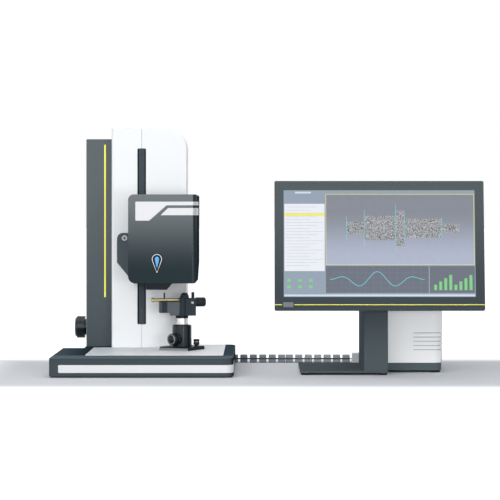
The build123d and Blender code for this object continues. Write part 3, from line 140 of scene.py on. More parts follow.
def paint_grain_group():
    """Fine orange-peel of a painted or moulded surface, with a faint drift of tone over it."""
    inputs = [
        ("Vector", "NodeSocketVector", None),
        ("Colour", "NodeSocketColor", (0.5, 0.5, 0.5, 1)),
        ("Grain Scale", "NodeSocketFloat", 900.0),
        ("Tone Drift", "NodeSocketFloat", 0.06),
        ("Roughness", "NodeSocketFloat", 0.45),
        ("Roughness Spread", "NodeSocketFloat", 0.08),
    ]
    tree, given, leave = new_group("paint_grain", inputs, SKIN_OUTPUTS)
    grain = noise(tree, given["Vector"], given["Grain Scale"], 3.0)
    cloud = noise(tree, given["Vector"], CLOUD_SCALE, 4.0)
    centred = maths(tree, "SUBTRACT", maths(tree, "ADD", cloud, grain), 1.0)
    gain = maths(tree, "ADD", maths(tree, "MULTIPLY", centred, given["Tone Drift"]), 1.0)
    spread = maths(tree, "MULTIPLY", centred, given["Roughness Spread"])
    tree.links.new(scaled(tree, given["Colour"], gain), leave.inputs["Colour"])
    tree.links.new(maths(tree, "ADD", spread, given["Roughness"]), leave.inputs["Roughness"])
    tree.links.new(grain, leave.inputs["Height"])
    return tree


def machined_lines_group():
    """Fine parallel tool marks: the pattern is stretched by the vector that is given."""
    inputs = [
        ("Vector", "NodeSocketVector", None),
        ("Stretch", "NodeSocketVector", (1.0, 1.0, 1.0)),
        ("Colour", "NodeSocketColor", (0.6, 0.6, 0.6, 1)),
        ("Contrast", "NodeSocketFloat", 0.25),
        ("Roughness", "NodeSocketFloat", 0.3),
    ]
    tree, given, leave = new_group("machined_lines", inputs, SKIN_OUTPUTS)
    stretched = add_node(tree, "ShaderNodeVectorMath", {0: given["Vector"], 1: given["Stretch"]},
                         operation="MULTIPLY").outputs[0]
    lines = noise(tree, stretched, 1.0, 5.0, 0.7)
    change = maths(tree, "MULTIPLY", maths(tree, "SUBTRACT", lines, 0.5), given["Contrast"])
    gain = maths(tree, "ADD", change, 1.0)
    tree.links.new(scaled(tree, given["Colour"], gain), leave.inputs["Colour"])
    tree.links.new(maths(tree, "ADD", change, given["Roughness"]), leave.inputs["Roughness"])
    tree.links.new(lines, leave.inputs["Height"])
    return tree


def dust_group():
    """Faint dust that settles on faces that look up."""
    inputs = [
        ("Vector", "NodeSocketVector", None),
        ("Normal", "NodeSocketVector", None),
        ("Colour", "NodeSocketColor", (0.5, 0.5, 0.5, 1)),
        ("Amount", "NodeSocketFloat", 0.05),
    ]
    tree, given, leave = new_group("settled_dust", inputs, SKIN_OUTPUTS[:1])
    up = add_node(tree, "ShaderNodeSeparateXYZ", {0: given["Normal"]}).outputs["Z"]
    patches = noise(tree, given["Vector"], DUST_SCALE, 6.0)
    mask = maths(tree, "MULTIPLY", ramp(tree, up, 0.6, 1.0), patches)
    mask = maths(tree, "MULTIPLY", mask, given["Amount"])
    tree.links.new(mixed_colour(tree, mask, given["Colour"], DUST_COLOUR), leave.inputs["Colour"])
    return tree


GROUPS = {"grain": paint_grain_group(), "lines": machined_lines_group(), "dust": dust_group()}
FINISH = {}
COAT_ROUGHNESS = 0.12


def new_material(name):
    """An empty node material: returns it, its tree, its shader and its object coordinates."""
    material = bpy.data.materials.new(name)
    material.use_nodes = True
    tree = material.node_tree
    shader = tree.nodes["Principled BSDF"]
    coords = add_node(tree, "ShaderNodeTexCoord").outputs["Object"]
    return material, tree, shader, coords


def add_bump(tree, shader, height, distance, strength=0.5):
    """Raises the surface by a height, over a distance in metres."""
    bump = add_node(tree, "ShaderNodeBump", {"Height": height, "Distance": distance, "Strength": strength})
    tree.links.new(bump.outputs[0], shader.inputs["Normal"])


def graded(tree, coords, colour, grade):
    """A colour that turns into another along an axis. grade is (other colour, axis, from mm, to mm)."""
    other, axis, start, end = grade
    along = add_node(tree, "ShaderNodeSeparateXYZ", {0: coords}).outputs[axis]
    part = ramp(tree, along, start * MM, end * MM, kind="SMOOTHSTEP")
    return mixed_colour(tree, part, (*other, 1), (*colour, 1))


def paint(name, colour, roughness=0.42, grain=900.0, depth=0.05, drift=0.06, dust=0.05, coat=0.0,
          gloss=0.25, grade=None):
    """Painted metal or moulded plastic. grade makes it deepen along an axis, as graded says."""
    material, tree, shader, coords = new_material(name)
    start = graded(tree, coords, colour, grade) if grade else (*colour, 1)
    wanted = {"Vector": coords, "Colour": start, "Grain Scale": grain, "Tone Drift": drift,
              "Roughness": roughness}
    skin = add_node(tree, "ShaderNodeGroup", wanted, node_tree=GROUPS["grain"])
    shown = skin.outputs["Colour"]
    if dust:
        normal = add_node(tree, "ShaderNodeNewGeometry").outputs["Normal"]
        wanted = {"Vector": coords, "Normal": normal, "Colour": shown, "Amount": dust}
        shown = add_node(tree, "ShaderNodeGroup", wanted, node_tree=GROUPS["dust"]).outputs["Colour"]
    tree.links.new(shown, shader.inputs["Base Color"])
    tree.links.new(skin.outputs["Roughness"], shader.inputs["Roughness"])
    shader.inputs["Specular IOR Level"].default_value = gloss
    shader.inputs["Coat Weight"].default_value = coat
    shader.inputs["Coat Roughness"].default_value = COAT_ROUGHNESS
    add_bump(tree, shader, skin.outputs["Height"], depth * MM)
    FINISH[name] = material


def metal(name, colour, roughness=0.28, stretch=(40, 40, 3000), contrast=0.25, depth=0.01, metallic=1.0,
          gloss=0.5):
    """Machined metal, or bristles, with fine marks that are long where the stretch is small."""
    material, tree, shader, coords = new_material(name)
    wanted = {"Vector": coords, "Stretch": stretch, "Colour": (*colour, 1), "Contrast": contrast,
              "Roughness": roughness}
    marks = add_node(tree, "ShaderNodeGroup", wanted, node_tree=GROUPS["lines"])
    tree.links.new(marks.outputs["Colour"], shader.inputs["Base Color"])
    tree.links.new(marks.outputs["Roughness"], shader.inputs["Roughness"])
    shader.inputs["Metallic"].default_value = metallic
    shader.inputs["Specular IOR Level"].default_value = gloss
    add_bump(tree, shader, marks.outputs["Height"], depth * MM, 0.3)
    FINISH[name] = material


def glow(name, colour, grade=None, speckle=None):
    """A lit area of the screen, in the colour as written. speckle is the (colour, scale) of its flecks."""
    material, tree, shader, coords = new_material(name)
    shader.inputs["Base Color"].default_value = (0.004, 0.004, 0.005, 1)
    shader.inputs["Roughness"].default_value = 0.4
    shader.inputs["Specular IOR Level"].default_value = 0.1
    start = graded(tree, coords, colour, grade) if grade else colour
    if speckle:
        fleck, scale = speckle
        part = ramp(tree, noise(tree, coords, scale, 6.0, 0.8), 0.42, 0.6)
        start = mixed_colour(tree, part, (*colour, 1), (*fleck, 1))
    gain = ramp(tree, noise(tree, coords, 60.0), 0.0, 1.0, 0.96, 1.04)
    tree.links.new(scaled(tree, start, gain), shader.inputs["Emission Color"])
    shader.inputs["Emission Strength"].default_value = 1.0
    FINISH[name] = material


# The finishes, named for what they are on; where one paints light or shade into its colour, a comment says
# so
# Painted light: the casting's paint is graded a touch lighter below 30 mm than above 54 mm
paint("casting_paint", (0.049, 0.067, 0.078), 0.42, 1300, 0.03, gloss=0.03,
      grade=((0.056, 0.071, 0.080), "Z", 30, 54))
# Painted shade: the base's top, darker than its front and darkest towards the column, from X -607 to -500
paint("casting_top_shade", (0.008, 0.019, 0.027), 0.45, 1300, 0.03, dust=0.03, gloss=0.0,
      grade=((0.047, 0.072, 0.089), "X", -607, -500))
# Painted highlight: lighter strip along the base's front top edge, in front of the stage
paint("casting_edge_highlight", (0.098, 0.122, 0.136), 0.42, 1300, 0.03, dust=0.0, gloss=0.0)
# Painted light: the top of the base right of the stage, lighter than the rest of its top
paint("casting_right_painted_light", (0.046, 0.066, 0.080), 0.45, 1300, 0.03, dust=0.0, gloss=0.0)
# Painted shade: the base's right side, and the left end block of the cable spine
paint("casting_side_shade", (0.028, 0.037, 0.044), 0.42, 1300, 0.03, dust=0.0, gloss=0.0)
# Painted shade: the column darkens downwards towards the stage
paint("column_paint", (0.101, 0.118, 0.127), 0.42, 1300, 0.03, dust=0.02, gloss=0.12,
      grade=((0.063, 0.081, 0.093), "Z", 40, 560))
# Painted shade: the head darkens downwards, from 520 to 285 mm
paint("head_paint", (0.148, 0.168, 0.179), 0.34, 1500, 0.01, gloss=0.08,
      grade=((0.011, 0.022, 0.027), "Z", 285, 520))
# Painted reflection: dark band down the head's right front corner
paint("head_edge_dark_reflection", (0.018, 0.027, 0.033), 0.22, 1500, 0.006, dust=0.0, gloss=0.3)
# Painted shade: the head's right side walls
paint("head_side_shade", (0.026, 0.037, 0.045), 0.4, 1500, 0.01, dust=0.0, gloss=0.0)
# Painted highlight: lighter strip down the column's left front edge
paint("column_edge_highlight", (0.19, 0.22, 0.235), 0.4, 1500, 0.01, dust=0.0, gloss=0.05)
paint("bracket_paint", (0.044, 0.064, 0.076), 0.4, 1300, 0.03)
paint("white_paint", (0.825, 0.835, 0.845), 0.38, 700, 0.01, drift=0.012, dust=0.0, gloss=0.25)
paint("white_inlay", (0.702, 0.702, 0.715), 0.28, 700, 0.01, drift=0.01, dust=0.0, gloss=0.3)
# Painted reflection: the stripes greyer where they cross the head's dark corner band
paint("inlay_shade", (0.46, 0.48, 0.50), 0.3, 700, 0.01, drift=0.01, dust=0.0)
# Painted shade: the stage darkens towards its left, from X -250 to -520
paint("stage_paint", (0.77, 0.785, 0.81), 0.42, 1200, 0.03, drift=0.03, dust=0.0, gloss=0.1,
      grade=((0.607, 0.648, 0.678), "X", -520, -250))
paint("clamp_grey", (0.614, 0.653, 0.681), 0.4, 900, 0.02, drift=0.03, dust=0.0, gloss=0.0)
paint("frame_iron", (0.030, 0.034, 0.038), 0.6, 800, 0.08)
paint("black_anodised", (0.007, 0.011, 0.015), 0.38, 1800, 0.01, dust=0.02, gloss=0.06)
paint("block_black", (0.018, 0.029, 0.037), 0.4, 1800, 0.01, dust=0.04, gloss=0.1)
paint("jaw_grey", (0.094, 0.111, 0.125), 0.45, 1800, 0.01, dust=0.04, gloss=0.1)
# Painted shade and highlight: the jaw's faces turned front right are darker, its nose lighter
paint("jaw_shaded_face", (0.023, 0.032, 0.041), 0.45, 1800, 0.01, dust=0.04, gloss=0.1)
paint("jaw_nose_highlight", (0.060, 0.072, 0.082), 0.4, 1800, 0.01, dust=0.0, gloss=0.1)
paint("post_black", (0.008, 0.013, 0.018), 0.16, 1500, 0.004, dust=0.0, gloss=0.25)
paint("cap_black", (0.004, 0.005, 0.006), 0.12, 1500, 0.0, dust=0.0, gloss=0.35)
paint("knob_plastic", (0.015, 0.021, 0.026), 0.28, 1500, 0.01, dust=0.03, gloss=0.14)
paint("hand_knob", (0.010, 0.017, 0.022), 0.2, 1500, 0.006, dust=0.0, gloss=0.3)
# Painted shade: the bezel and back darken towards the bottom, from 540 to 195 mm
paint("monitor_plastic", (0.070, 0.085, 0.091), 0.45, 2000, 0.01, dust=0.03, gloss=0.05,
      grade=((0.037, 0.047, 0.055), "Z", 195, 540))
paint("slab_paint", (0.076, 0.093, 0.104), 0.42, 1300, 0.03, gloss=0.0)
# Painted light: the slab's sides lighter than its front, making up for the weaker light on them
paint("slab_side_painted_light", (0.105, 0.132, 0.150), 0.42, 1300, 0.03, dust=0.0, gloss=0.0)
paint("plinth_paint", (0.090, 0.116, 0.127), 0.5, 1300, 0.03, gloss=0.02)
paint("yellow_accent", (0.94, 0.91, 0.12), 0.35, 800, 0.01, drift=0.02, dust=0.0)
paint("yellow_trim", (0.66, 0.64, 0.10), 0.35, 800, 0.01, drift=0.02, dust=0.0, gloss=0.1)
paint("rubber", (0.018, 0.020, 0.021), 0.7, 900, 0.06, dust=0.1, gloss=0.08)
paint("lip_rubber", (0.008, 0.013, 0.017), 0.6, 900, 0.04, dust=0.0, gloss=0.06)
# Dark seam where the spine links' halves meet, and painted shadow and shade: the line where the column meets
# the tower and the controller's turned right corner
paint("seam_and_shadow_black", (0.012, 0.015, 0.018), 0.6, 900, 0.02, dust=0.0, gloss=0.06)
# Painted shade: the links darken to the left, under the base, and lighten towards the controller
paint("link_plastic", (0.310, 0.336, 0.358), 0.4, 1200, 0.02, dust=0.05, gloss=0.0,
      grade=((0.148, 0.170, 0.191), "X", -90, 200))
paint("badge_grey", (0.119, 0.131, 0.153), 0.35, 1500, 0.01, dust=0.0)
paint("vent_grey", (0.42, 0.43, 0.44), 0.6, 1200, 0.01, dust=0.0)
# Black bed inside the indicator's ring, and a painted shadow rim round its lower right
paint("indicator_black", (0.004, 0.005, 0.006), 0.25, 1500, 0.005, dust=0.0, gloss=0.1)
paint("blue_lens", (0.055, 0.37, 0.78), 0.18, 600, 0.005, drift=0.3, dust=0.0, coat=0.3)
metal("brush_grey", (0.056, 0.073, 0.084), 0.7, (60, 60, 5000), 0.35, 0.05, metallic=0.0,
      gloss=0.06)
metal("machined_steel", (0.60, 0.61, 0.62), 0.3)
metal("screw_steel", (0.30, 0.31, 0.32), 0.42, (600, 600, 600), 0.3, metallic=0.7)
metal("spindle_steel", (0.76, 0.77, 0.78), 0.3, contrast=0.1, metallic=0.35)
# Pale metal: the front face of the fixture's lower plate and the lock knob's waist
metal("pale_metal", (0.215, 0.232, 0.247), 0.4, contrast=0.15, metallic=0.2, gloss=0.2)
metal("rim_steel", (0.32, 0.325, 0.33), 0.34, (600, 600, 600), 0.15)
metal("brass", (0.50, 0.41, 0.19), 0.42, (60, 900, 900), 0.08)
glow("screen_field", (0.30, 0.36, 0.44))
glow("screen_view", (0.235, 0.255, 0.30), grade=((0.42, 0.46, 0.58), "Z", 330, 470))
glow("screen_graph", (0.145, 0.165, 0.205))
glow("screen_grid", (0.215, 0.24, 0.285))
glow("screen_list", (0.82, 0.84, 0.90))
glow("screen_row", (0.52, 0.55, 0.62))
glow("screen_strip", (0.62, 0.72, 0.84))
glow("screen_yellow", (0.88, 0.84, 0.16))
glow("screen_cyan", (0.16, 0.66, 0.72))
glow("screen_green", (0.22, 0.62, 0.25))
glow("screen_scan", (0.035, 0.038, 0.045), speckle=((0.66, 0.67, 0.69), 420.0))


# Mesh helpers
def bevel_sharp(mesh, width, segments=2, angle=30.0):
    """Rounds every edge whose faces meet at more than the angle. Width is in metres."""
    sharp = [edge for edge in mesh.edges
             if len(edge.link_faces) == 2 and edge.calc_face_angle(0.0) > math.radians(angle)]
    if sharp:
        bmesh.ops.bevel(mesh, geom=sharp, offset=width, offset_type="OFFSET", segments=segments,
                        profile=0.5, affect="EDGES", clamp_overlap=True, material=-1)


def place(mesh, origin, x_dir=(1, 0, 0), z_dir=(0, 0, 1)):
    """Moves a mesh made about its own origin, in metres, to where it belongs."""
    x_axis = Vector(x_dir).normalized()
    z_axis = Vector(z_dir).normalized()
    y_axis = z_axis.cross(x_axis)
    turn = Matrix((x_axis, y_axis, z_axis)).transposed().to_4x4()
    bmesh.ops.transform(mesh, matrix=Matrix.Translation(Vector(origin)) @ turn, verts=mesh.verts)


def finished(mesh, name, body, finish, stands_for=(), smooth=35.0):
    """Turns a bmesh into a piece that rides on a body, with its finish and its smooth shading."""
    data = bpy.data.meshes.new(name)
    mesh.to_mesh(data)
    mesh.free()
    for face in data.polygons:
        face.use_smooth = True
    data.set_sharp_from_angle(angle=math.radians(smooth))
    data.materials.append(FINISH[finish])
    piece = bpy.data.objects.new(name, data)
    bpy.context.scene.collection.objects.link(piece)
    piece.modifiers.new("even_shading", "WEIGHTED_NORMAL").keep_sharp = True
    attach(piece, body)
    if stands_for:
        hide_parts(*stands_for)
    return piece


def node_copy(node):
    """A bmesh of a CAD node with its triangles joined into flat faces."""
    mesh = bmesh.new()
    mesh.from_mesh(frame["nodes"][node].data)
    bmesh.ops.remove_doubles(mesh, verts=mesh.verts, dist=1e-6)
    bmesh.ops.dissolve_limit(mesh, angle_limit=math.radians(0.5), verts=mesh.verts, edges=mesh.edges)
    return mesh


BODY_OF = {node: body for body, nodes in frame["record"]["behaviour"]["bodies"].items() for node in nodes}


# Lines, in mm, at which faces are parted so that a strip of them can take another finish, with a painted
# highlight, shade or reflection
HEAD_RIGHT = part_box("head_front_shell")[1][0] / MM
# Strip down the head's right front corner that takes a painted dark reflection
HEAD_BAND = (HEAD_RIGHT - 13.5, HEAD_RIGHT - 3.5)
COLUMN_LEFT, COLUMN_RIGHT = (corner[0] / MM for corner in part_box("column_housing"))
# Strips down the column's front edges: a painted highlight at the left, a painted shadow line at the right
COLUMN_LINES = (COLUMN_LEFT + 2.2, COLUMN_RIGHT - 3.0)
STAGE_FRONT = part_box("stage_plate")[0][1] / MM
STAGE_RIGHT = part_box("stage_plate")[1][0] / MM
AXES = {"X": Vector((1, 0, 0)), "Y": Vector((0, 1, 0)), "Z": Vector((0, 0, 1))}
CUTS = {
    "head_front_shell": [("X", line) for line in HEAD_BAND],
    "head_stripes": [("X", line) for line in HEAD_BAND],
    "column_housing": [("X", line) for line in COLUMN_LINES],
    "base_casting": [("Y", STAGE_FRONT), ("X", STAGE_RIGHT)],
}


def softened(node, width, finish):
    """The CAD node's own shape with its edges rounded by width, in mm, and its faces parted at its cuts."""
    mesh = node_copy(node)
    bevel_sharp(mesh, width * MM)
    for axis, cut in CUTS.get(node, ()):
        bmesh.ops.bisect_plane(mesh, geom=mesh.verts[:] + mesh.edges[:] + mesh.faces[:],
                               plane_co=AXES[axis] * cut * MM, plane_no=AXES[axis])
    return finished(mesh, node + "_dressed", BODY_OF[node], finish, (node,))


# The nodes that take each finish, with the width, in mm, by which their edges are rounded
EDGES = {
    "casting_paint": (("base_casting", 1.5), ("base_bottom_plate", 0.4)),
    "column_paint": (("column_housing", 0.8),),
    "head_paint": (("head_front_shell", 1.2), ("head_rear_shell", 1.2)),
    "bracket_paint": (("side_bracket", 1.2),),
    "white_paint": (("tower_cover_left", 0.9), ("tower_cover_right", 0.9), ("tower_rear_panel", 0.4),
                    ("controller_cover", 0.6)),
    "white_inlay": (("base_band", 0.3), ("head_stripes", 0.25)),
    "stage_paint": (("stage_plate", 0.6),),
    "clamp_grey": (("spine_ends", 0.8),),
    "frame_iron": (("tower_frame", 0.5), ("carriage_plate", 0.5), ("head_arm", 0.5), ("hinge_lug", 0.6),
                   ("tilt_bracket", 0.5)),
    "black_anodised": (("fixture_upper_plate", 0.3), ("fixture_lower_plate", 0.3), ("spindle_collar", 0.2),
                       ("camera_body", 0.5), ("lens_barrel", 0.3), ("stage_screws", 0.1)),
    "block_black": (("main_block", 0.8), ("fixture_screws", 0.3), ("light_housing", 0.5)),
    "jaw_grey": (("vee_jaw", 0.7),),
    "post_black": (("fixture_post", 1.2),),
    "monitor_plastic": (("monitor_bezel", 0.8), ("monitor_back", 1.0)),
    "slab_paint": (("post_slab", 0.8), ("foot_plate", 0.6), ("cable_duct", 0.8)),
    "plinth_paint": (("controller_plinth", 0.6),),
    "yellow_accent": (("accent_strip", 0.2),),
    "yellow_trim": (("monitor_trim", 0.1),),
    "rubber": (("rubber_feet", 0.5),),
    "lip_rubber": (("slot_lips", 0.3),),
    "link_plastic": (("spine_links", 0.5),),
    "hand_knob": (("height_knob", 0.3),),
    "knob_plastic": (("clamp_knob", 0.3), ("lock_knob", 0.2), ("barrel_knob", 0.3)),
    "machined_steel": (("linear_rails", 0.2), ("rail_blocks", 0.4), ("lead_screw", 0.2),
                       ("screw_nut", 0.4), ("shaft_bearings", 0.4), ("screw_gear", 0.2), ("shaft_gear", 0.2),
                       ("knob_shaft", 0.2), ("hinge_pin", 0.3)),
    "screw_steel": (("bracket_screw", 0.3),),
    "spindle_steel": (("spindle", 0.3),),
    "rim_steel": (("indicator_bezel", 0.2),),
    "brass": (("sample_tool", 0.3),),
    "screen_field": (("screen_panel", 0.1),),
}
DRESSED = {node: softened(node, width, finish) for finish, nodes in EDGES.items() for node, width in nodes}
# The plain solids take the same finishes, and block_black where none is given
for node, piece in frame["nodes"].items():
    piece.data.materials.clear()
    finish = next((name for name, nodes in EDGES.items() if node in dict(nodes)), "block_black")
    piece.data.materials.append(FINISH[finish])


# Shapes that several pieces start from
def turned(profile, segments=64):
    """A mesh turned about Z from points of (radius, height) in mm."""
    mesh = bmesh.new()
    points = [mesh.verts.new((radius * MM, 0.0, height * MM)) for radius, height in profile]
    edges = [mesh.edges.new(pair) for pair in zip(points, points[1:])]
    bmesh.ops.spin(mesh, geom=points + edges, cent=(0, 0, 0), axis=(0, 0, 1), angle=math.tau,
                   steps=segments, use_merge=True)
    bmesh.ops.remove_doubles(mesh, verts=mesh.verts, dist=1e-6)
    bmesh.ops.recalc_face_normals(mesh, faces=mesh.faces)
    return mesh


def add_block(mesh, low, high, turn=0.0):
    """Adds a block between two corners, in mm, turned about its own upright line."""
    made = bmesh.ops.create_cube(mesh, size=1.0)["verts"]
    size = [(b - a) * MM for a, b in zip(low, high)]
    centre = [(a + b) / 2 * MM for a, b in zip(low, high)]
    bmesh.ops.scale(mesh, vec=size, verts=made)
    bmesh.ops.rotate(mesh, cent=(0, 0, 0), matrix=Matrix.Rotation(turn, 3, "Z"), verts=made)
    bmesh.ops.translate(mesh, vec=centre, verts=made)


def refaced(piece, finish, wanted):
    """Gives the faces for which wanted is true another finish."""
    piece.data.materials.append(FINISH[finish])
    for face in piece.data.polygons:
        if wanted(face):
            face.material_index = len(piece.data.materials) - 1


def node_box(node):
    """Lowest and highest corner of a CAD node, in mm."""
    return [Vector(corner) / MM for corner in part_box(node)]


# Rotary fixture: where it stands, and how its plates and its tool line are turned
SPINDLE_LOW, SPINDLE_HIGH = node_box("spindle")
POST_X = (SPINDLE_LOW.x + SPINDLE_HIGH.x) / 2
POST_Y = (SPINDLE_LOW.y + SPINDLE_HIGH.y) / 2
PLATE_TURN = math.radians(-27.5)
TOOL_TURN = math.radians(10)
CLAMP_HEADING = math.radians(-128)
TOOL_ALONG = Vector((math.cos(TOOL_TURN), math.sin(TOOL_TURN), 0))
TOOL_FRONT = Vector((math.sin(TOOL_TURN), -math.cos(TOOL_TURN), 0))


def finish_housings():
    """Paints light and shade on the housings: their edges, sides and tops take finishes, lighter or darker
    than their fronts, that stand in for highlights, shade and reflections.
    """
    to_front, rounded_over, upward = -0.3, 0.3, 0.9
    base_side, head_side_shade, slab_side_painted_light = 0.75, 0.85, 0.7
    shade_turn_low, shade_turn_high = 0.93, 0.995
    beyond = 1

    def front_between(start, end):
        return lambda face: start < face.center.x / MM < end and face.normal.y < to_front

    column = DRESSED["column_housing"]
    # Painted highlight down the column's left edge, painted shadow where its right edge meets the tower
    refaced(column, "column_edge_highlight", front_between(COLUMN_LEFT - beyond, COLUMN_LINES[0]))
    refaced(column, "seam_and_shadow_black", front_between(COLUMN_LINES[1], COLUMN_RIGHT + beyond))
    # Painted dark reflection down the head's right front corner, on the shell and on its stripes
    refaced(DRESSED["head_front_shell"], "head_edge_dark_reflection", front_between(*HEAD_BAND))
    # Painted shade on the head's right side walls
    for shell in ("head_front_shell", "head_rear_shell"):
        refaced(DRESSED[shell], "head_side_shade", lambda face: face.normal.x > head_side_shade)
    refaced(DRESSED["head_stripes"], "inlay_shade", front_between(*HEAD_BAND))
    base = DRESSED["base_casting"]
    # Painted shade on the base's right side
    refaced(base, "casting_side_shade", lambda face: face.normal.x > base_side)
    # Painted shade on the base's top
    refaced(base, "casting_top_shade", lambda face: face.normal.z > upward)
    # Painted light on the base's top right of the stage
    refaced(base, "casting_right_painted_light",
            lambda face: face.normal.z > upward and face.center.x / MM > STAGE_RIGHT)
    # Painted highlight along the base's front top edge, in front of the stage
    refaced(base, "casting_edge_highlight",
            lambda face: face.normal.z > rounded_over and face.center.y / MM < STAGE_FRONT)
    # Painted shade on the spine's left end block, by the base
    refaced(DRESSED["spine_ends"], "casting_side_shade", lambda face: face.center.x < 0)
    # Painted light on the slab's sides
    refaced(DRESSED["post_slab"], "slab_side_painted_light", lambda face: abs(face.normal.x) > slab_side_painted_light)
    # Painted shade on the controller's corner faces that turn to its right side
    refaced(DRESSED["controller_cover"], "seam_and_shadow_black", lambda face: shade_turn_low < face.normal.x < shade_turn_high)


def make_link_line():
    """Dark line along the middle of the cable spine, where each link's two halves meet."""
    low, high = node_box("spine_links")
    middle = (low.z + high.z) / 2
    proud, half_h = 0.3, 1.6
    mesh = bmesh.new()
    add_block(mesh, (low.x, low.y - proud, middle - half_h), (high.x, low.y + proud, middle + half_h))
    bevel_sharp(mesh, 0.1 * MM)
    finished(mesh, "link_line", BODY_OF["spine_links"], "seam_and_shadow_black")


def make_nut_crown():
    """Chamfered hexagonal crown of the cap nut on the fixture's block."""
    nut_x, nut_r, nut_top = 7.5, 12.7, 225.0
    crown_r, crown_h, proud, edge = 8.4, 7.5, 0.2, 0.6
    crown = bmesh.new()
    bmesh.ops.create_cone(crown, cap_ends=True, segments=6, radius1=nut_r * MM, radius2=crown_r * MM,
                          depth=crown_h * MM)
    bmesh.ops.translate(crown, vec=(0, 0, (nut_top - crown_h / 2 + proud) * MM), verts=crown.verts)
    bevel_sharp(crown, edge * MM)
    place(crown, (Vector((POST_X, POST_Y, 0)) + TOOL_ALONG * nut_x) * MM, TOOL_ALONG)
    finished(crown, "cap_nut_crown", BODY_OF["fixture_screws"], "block_black")


def make_bracket_socket():
    """Dark hexagonal socket in the screw on the head's side bracket."""
    low, high = node_box("bracket_screw")
    middle = (low + high) / 2
    radius = (high.z - low.z) * 0.24
    socket = bmesh.new()
    bmesh.ops.create_cone(socket, cap_ends=True, segments=6, radius1=radius * MM, radius2=radius * 0.9 * MM,
                          depth=0.5 * MM)
    place(socket, Vector((middle.x, low.y - 0.1, middle.z)) * MM, (1, 0, 0), (0, -1, 0))
    finished(socket, "bracket_socket", BODY_OF["bracket_screw"], "jaw_grey")


def make_base_skirt():
    """Skirt under the base, which closes the gap down to the table."""
    skirt = node_copy("base_bottom_plate")
    low, high = node_box("base_bottom_plate")
    clearance, lap = 0.8, 0.2
    stretch = (low.z + lap - clearance) / (high.z - low.z)
    bmesh.ops.scale(skirt, vec=(1, 1, stretch), verts=skirt.verts)
    bmesh.ops.translate(skirt, vec=(0, 0, (clearance - low.z * stretch) * MM), verts=skirt.verts)
    finished(skirt, "base_skirt", "base", "casting_paint")


def finish_fixture():
    """Lighter metal on the lower plate's front face, the jaw's three tones, of which the darker and the
    lighter are painted shade and highlight, and the steel set screw.
    """
    # The lower plate's front face takes a lighter metal than its other faces
    plate_front = Vector((math.sin(PLATE_TURN), -math.cos(PLATE_TURN), 0))
    refaced(DRESSED["fixture_lower_plate"], "pale_metal", lambda face: face.normal.dot(plate_front) > 0.9)
    jaw = DRESSED["vee_jaw"]
    # Painted shade on the jaw's faces turned front right, painted highlight on its nose
    refaced(jaw, "jaw_shaded_face",
            lambda face: face.normal.dot(TOOL_FRONT) > 0.9 and face.normal.dot(TOOL_ALONG) > 0.1)
    refaced(jaw, "jaw_nose_highlight",
            lambda face: face.normal.dot(TOOL_FRONT) > 0.2 and face.normal.dot(TOOL_ALONG) < -0.3)
    post = Vector((POST_X, POST_Y, 0)) * MM
    set_screw_depth = 15.5 * MM
    refaced(DRESSED["fixture_screws"], "screw_steel",
            lambda face: (face.center - post).dot(TOOL_FRONT) > set_screw_depth)


def make_clamp_trim():
    """Domed cap and steel rim on the clamp knob's face."""
    knob_low, knob_high = node_box("clamp_knob")
    height = (knob_low.z + knob_high.z) / 2
    radius = (knob_high.z - knob_low.z) / 2
    heading = Vector((math.cos(CLAMP_HEADING), math.sin(CLAMP_HEADING), 0))
    rim_proud = 2.0
    shoulder = (POST_X - knob_low.x - radius * abs(math.sin(CLAMP_HEADING))) / abs(math.cos(CLAMP_HEADING))
    face_out = shoulder + rim_proud
    middle = Vector((POST_X, POST_Y, height))
    cap_r = radius - 5.4
    cap_h, recess, steps = 4.0, 1.6, 8
    dome = [(cap_r * math.sin(math.pi / 2 * i / steps), cap_h * math.cos(math.pi / 2 * i / steps) - recess)
            for i in range(steps + 1)]
    cap = turned(dome + [(0, -recess)])
    place(cap, (middle + heading * face_out) * MM, (0, 0, 1), heading)
    finished(cap, "clamp_cap", "clamp", "cap_black")
    rim = turned([(radius - 4.6, -0.8), (radius - 4.4, 0.3), (radius - 3.2, 0.7), (radius - 2.2, 0.2),
                  (radius - 2.0, -0.8), (radius - 4.6, -0.8)])
    place(rim, (middle + heading * face_out) * MM, (0, 0, 1), heading)
    finished(rim, "clamp_rim", "clamp", "screw_steel")


def make_lock_band():
    """Ground waist of the small lock knob."""
    low, high = node_box("lock_knob")
    centre = (low + high) / 2
    radius = (high.x - low.x) / 2
    waist_low, waist_high = high.z - 8.5, high.z - 6.1
    band = turned([(radius - 1.9, waist_low), (radius - 0.6, waist_low), (radius - 0.6, waist_high),
                   (radius - 1.9, waist_high), (radius - 1.9, waist_low)], 48)
    place(band, Vector((centre.x, centre.y, 0)) * MM)
    finished(band, "lock_band", "lock", "pale_metal")


def make_slot_brushes():
    """Two bristle strips that close the tower's slot between its lips and part round the head's arm."""
    low, high = node_box("slot_lips")
    centre = (low.x + high.x) / 2
    reach, parting, half_t, end_gap = 8.6, 0.2, 0.4, 0.5
    depth = (low.y + high.y) / 2
    mesh = bmesh.new()
    for side in (-1, 1):
        edges = sorted((centre + side * parting, centre + side * reach))
        add_block(mesh, (edges[0], depth - half_t, low.z + end_gap),
                  (edges[1], depth + half_t, high.z - end_gap))
    finished(mesh, "slot_brushes", "base", "brush_grey")


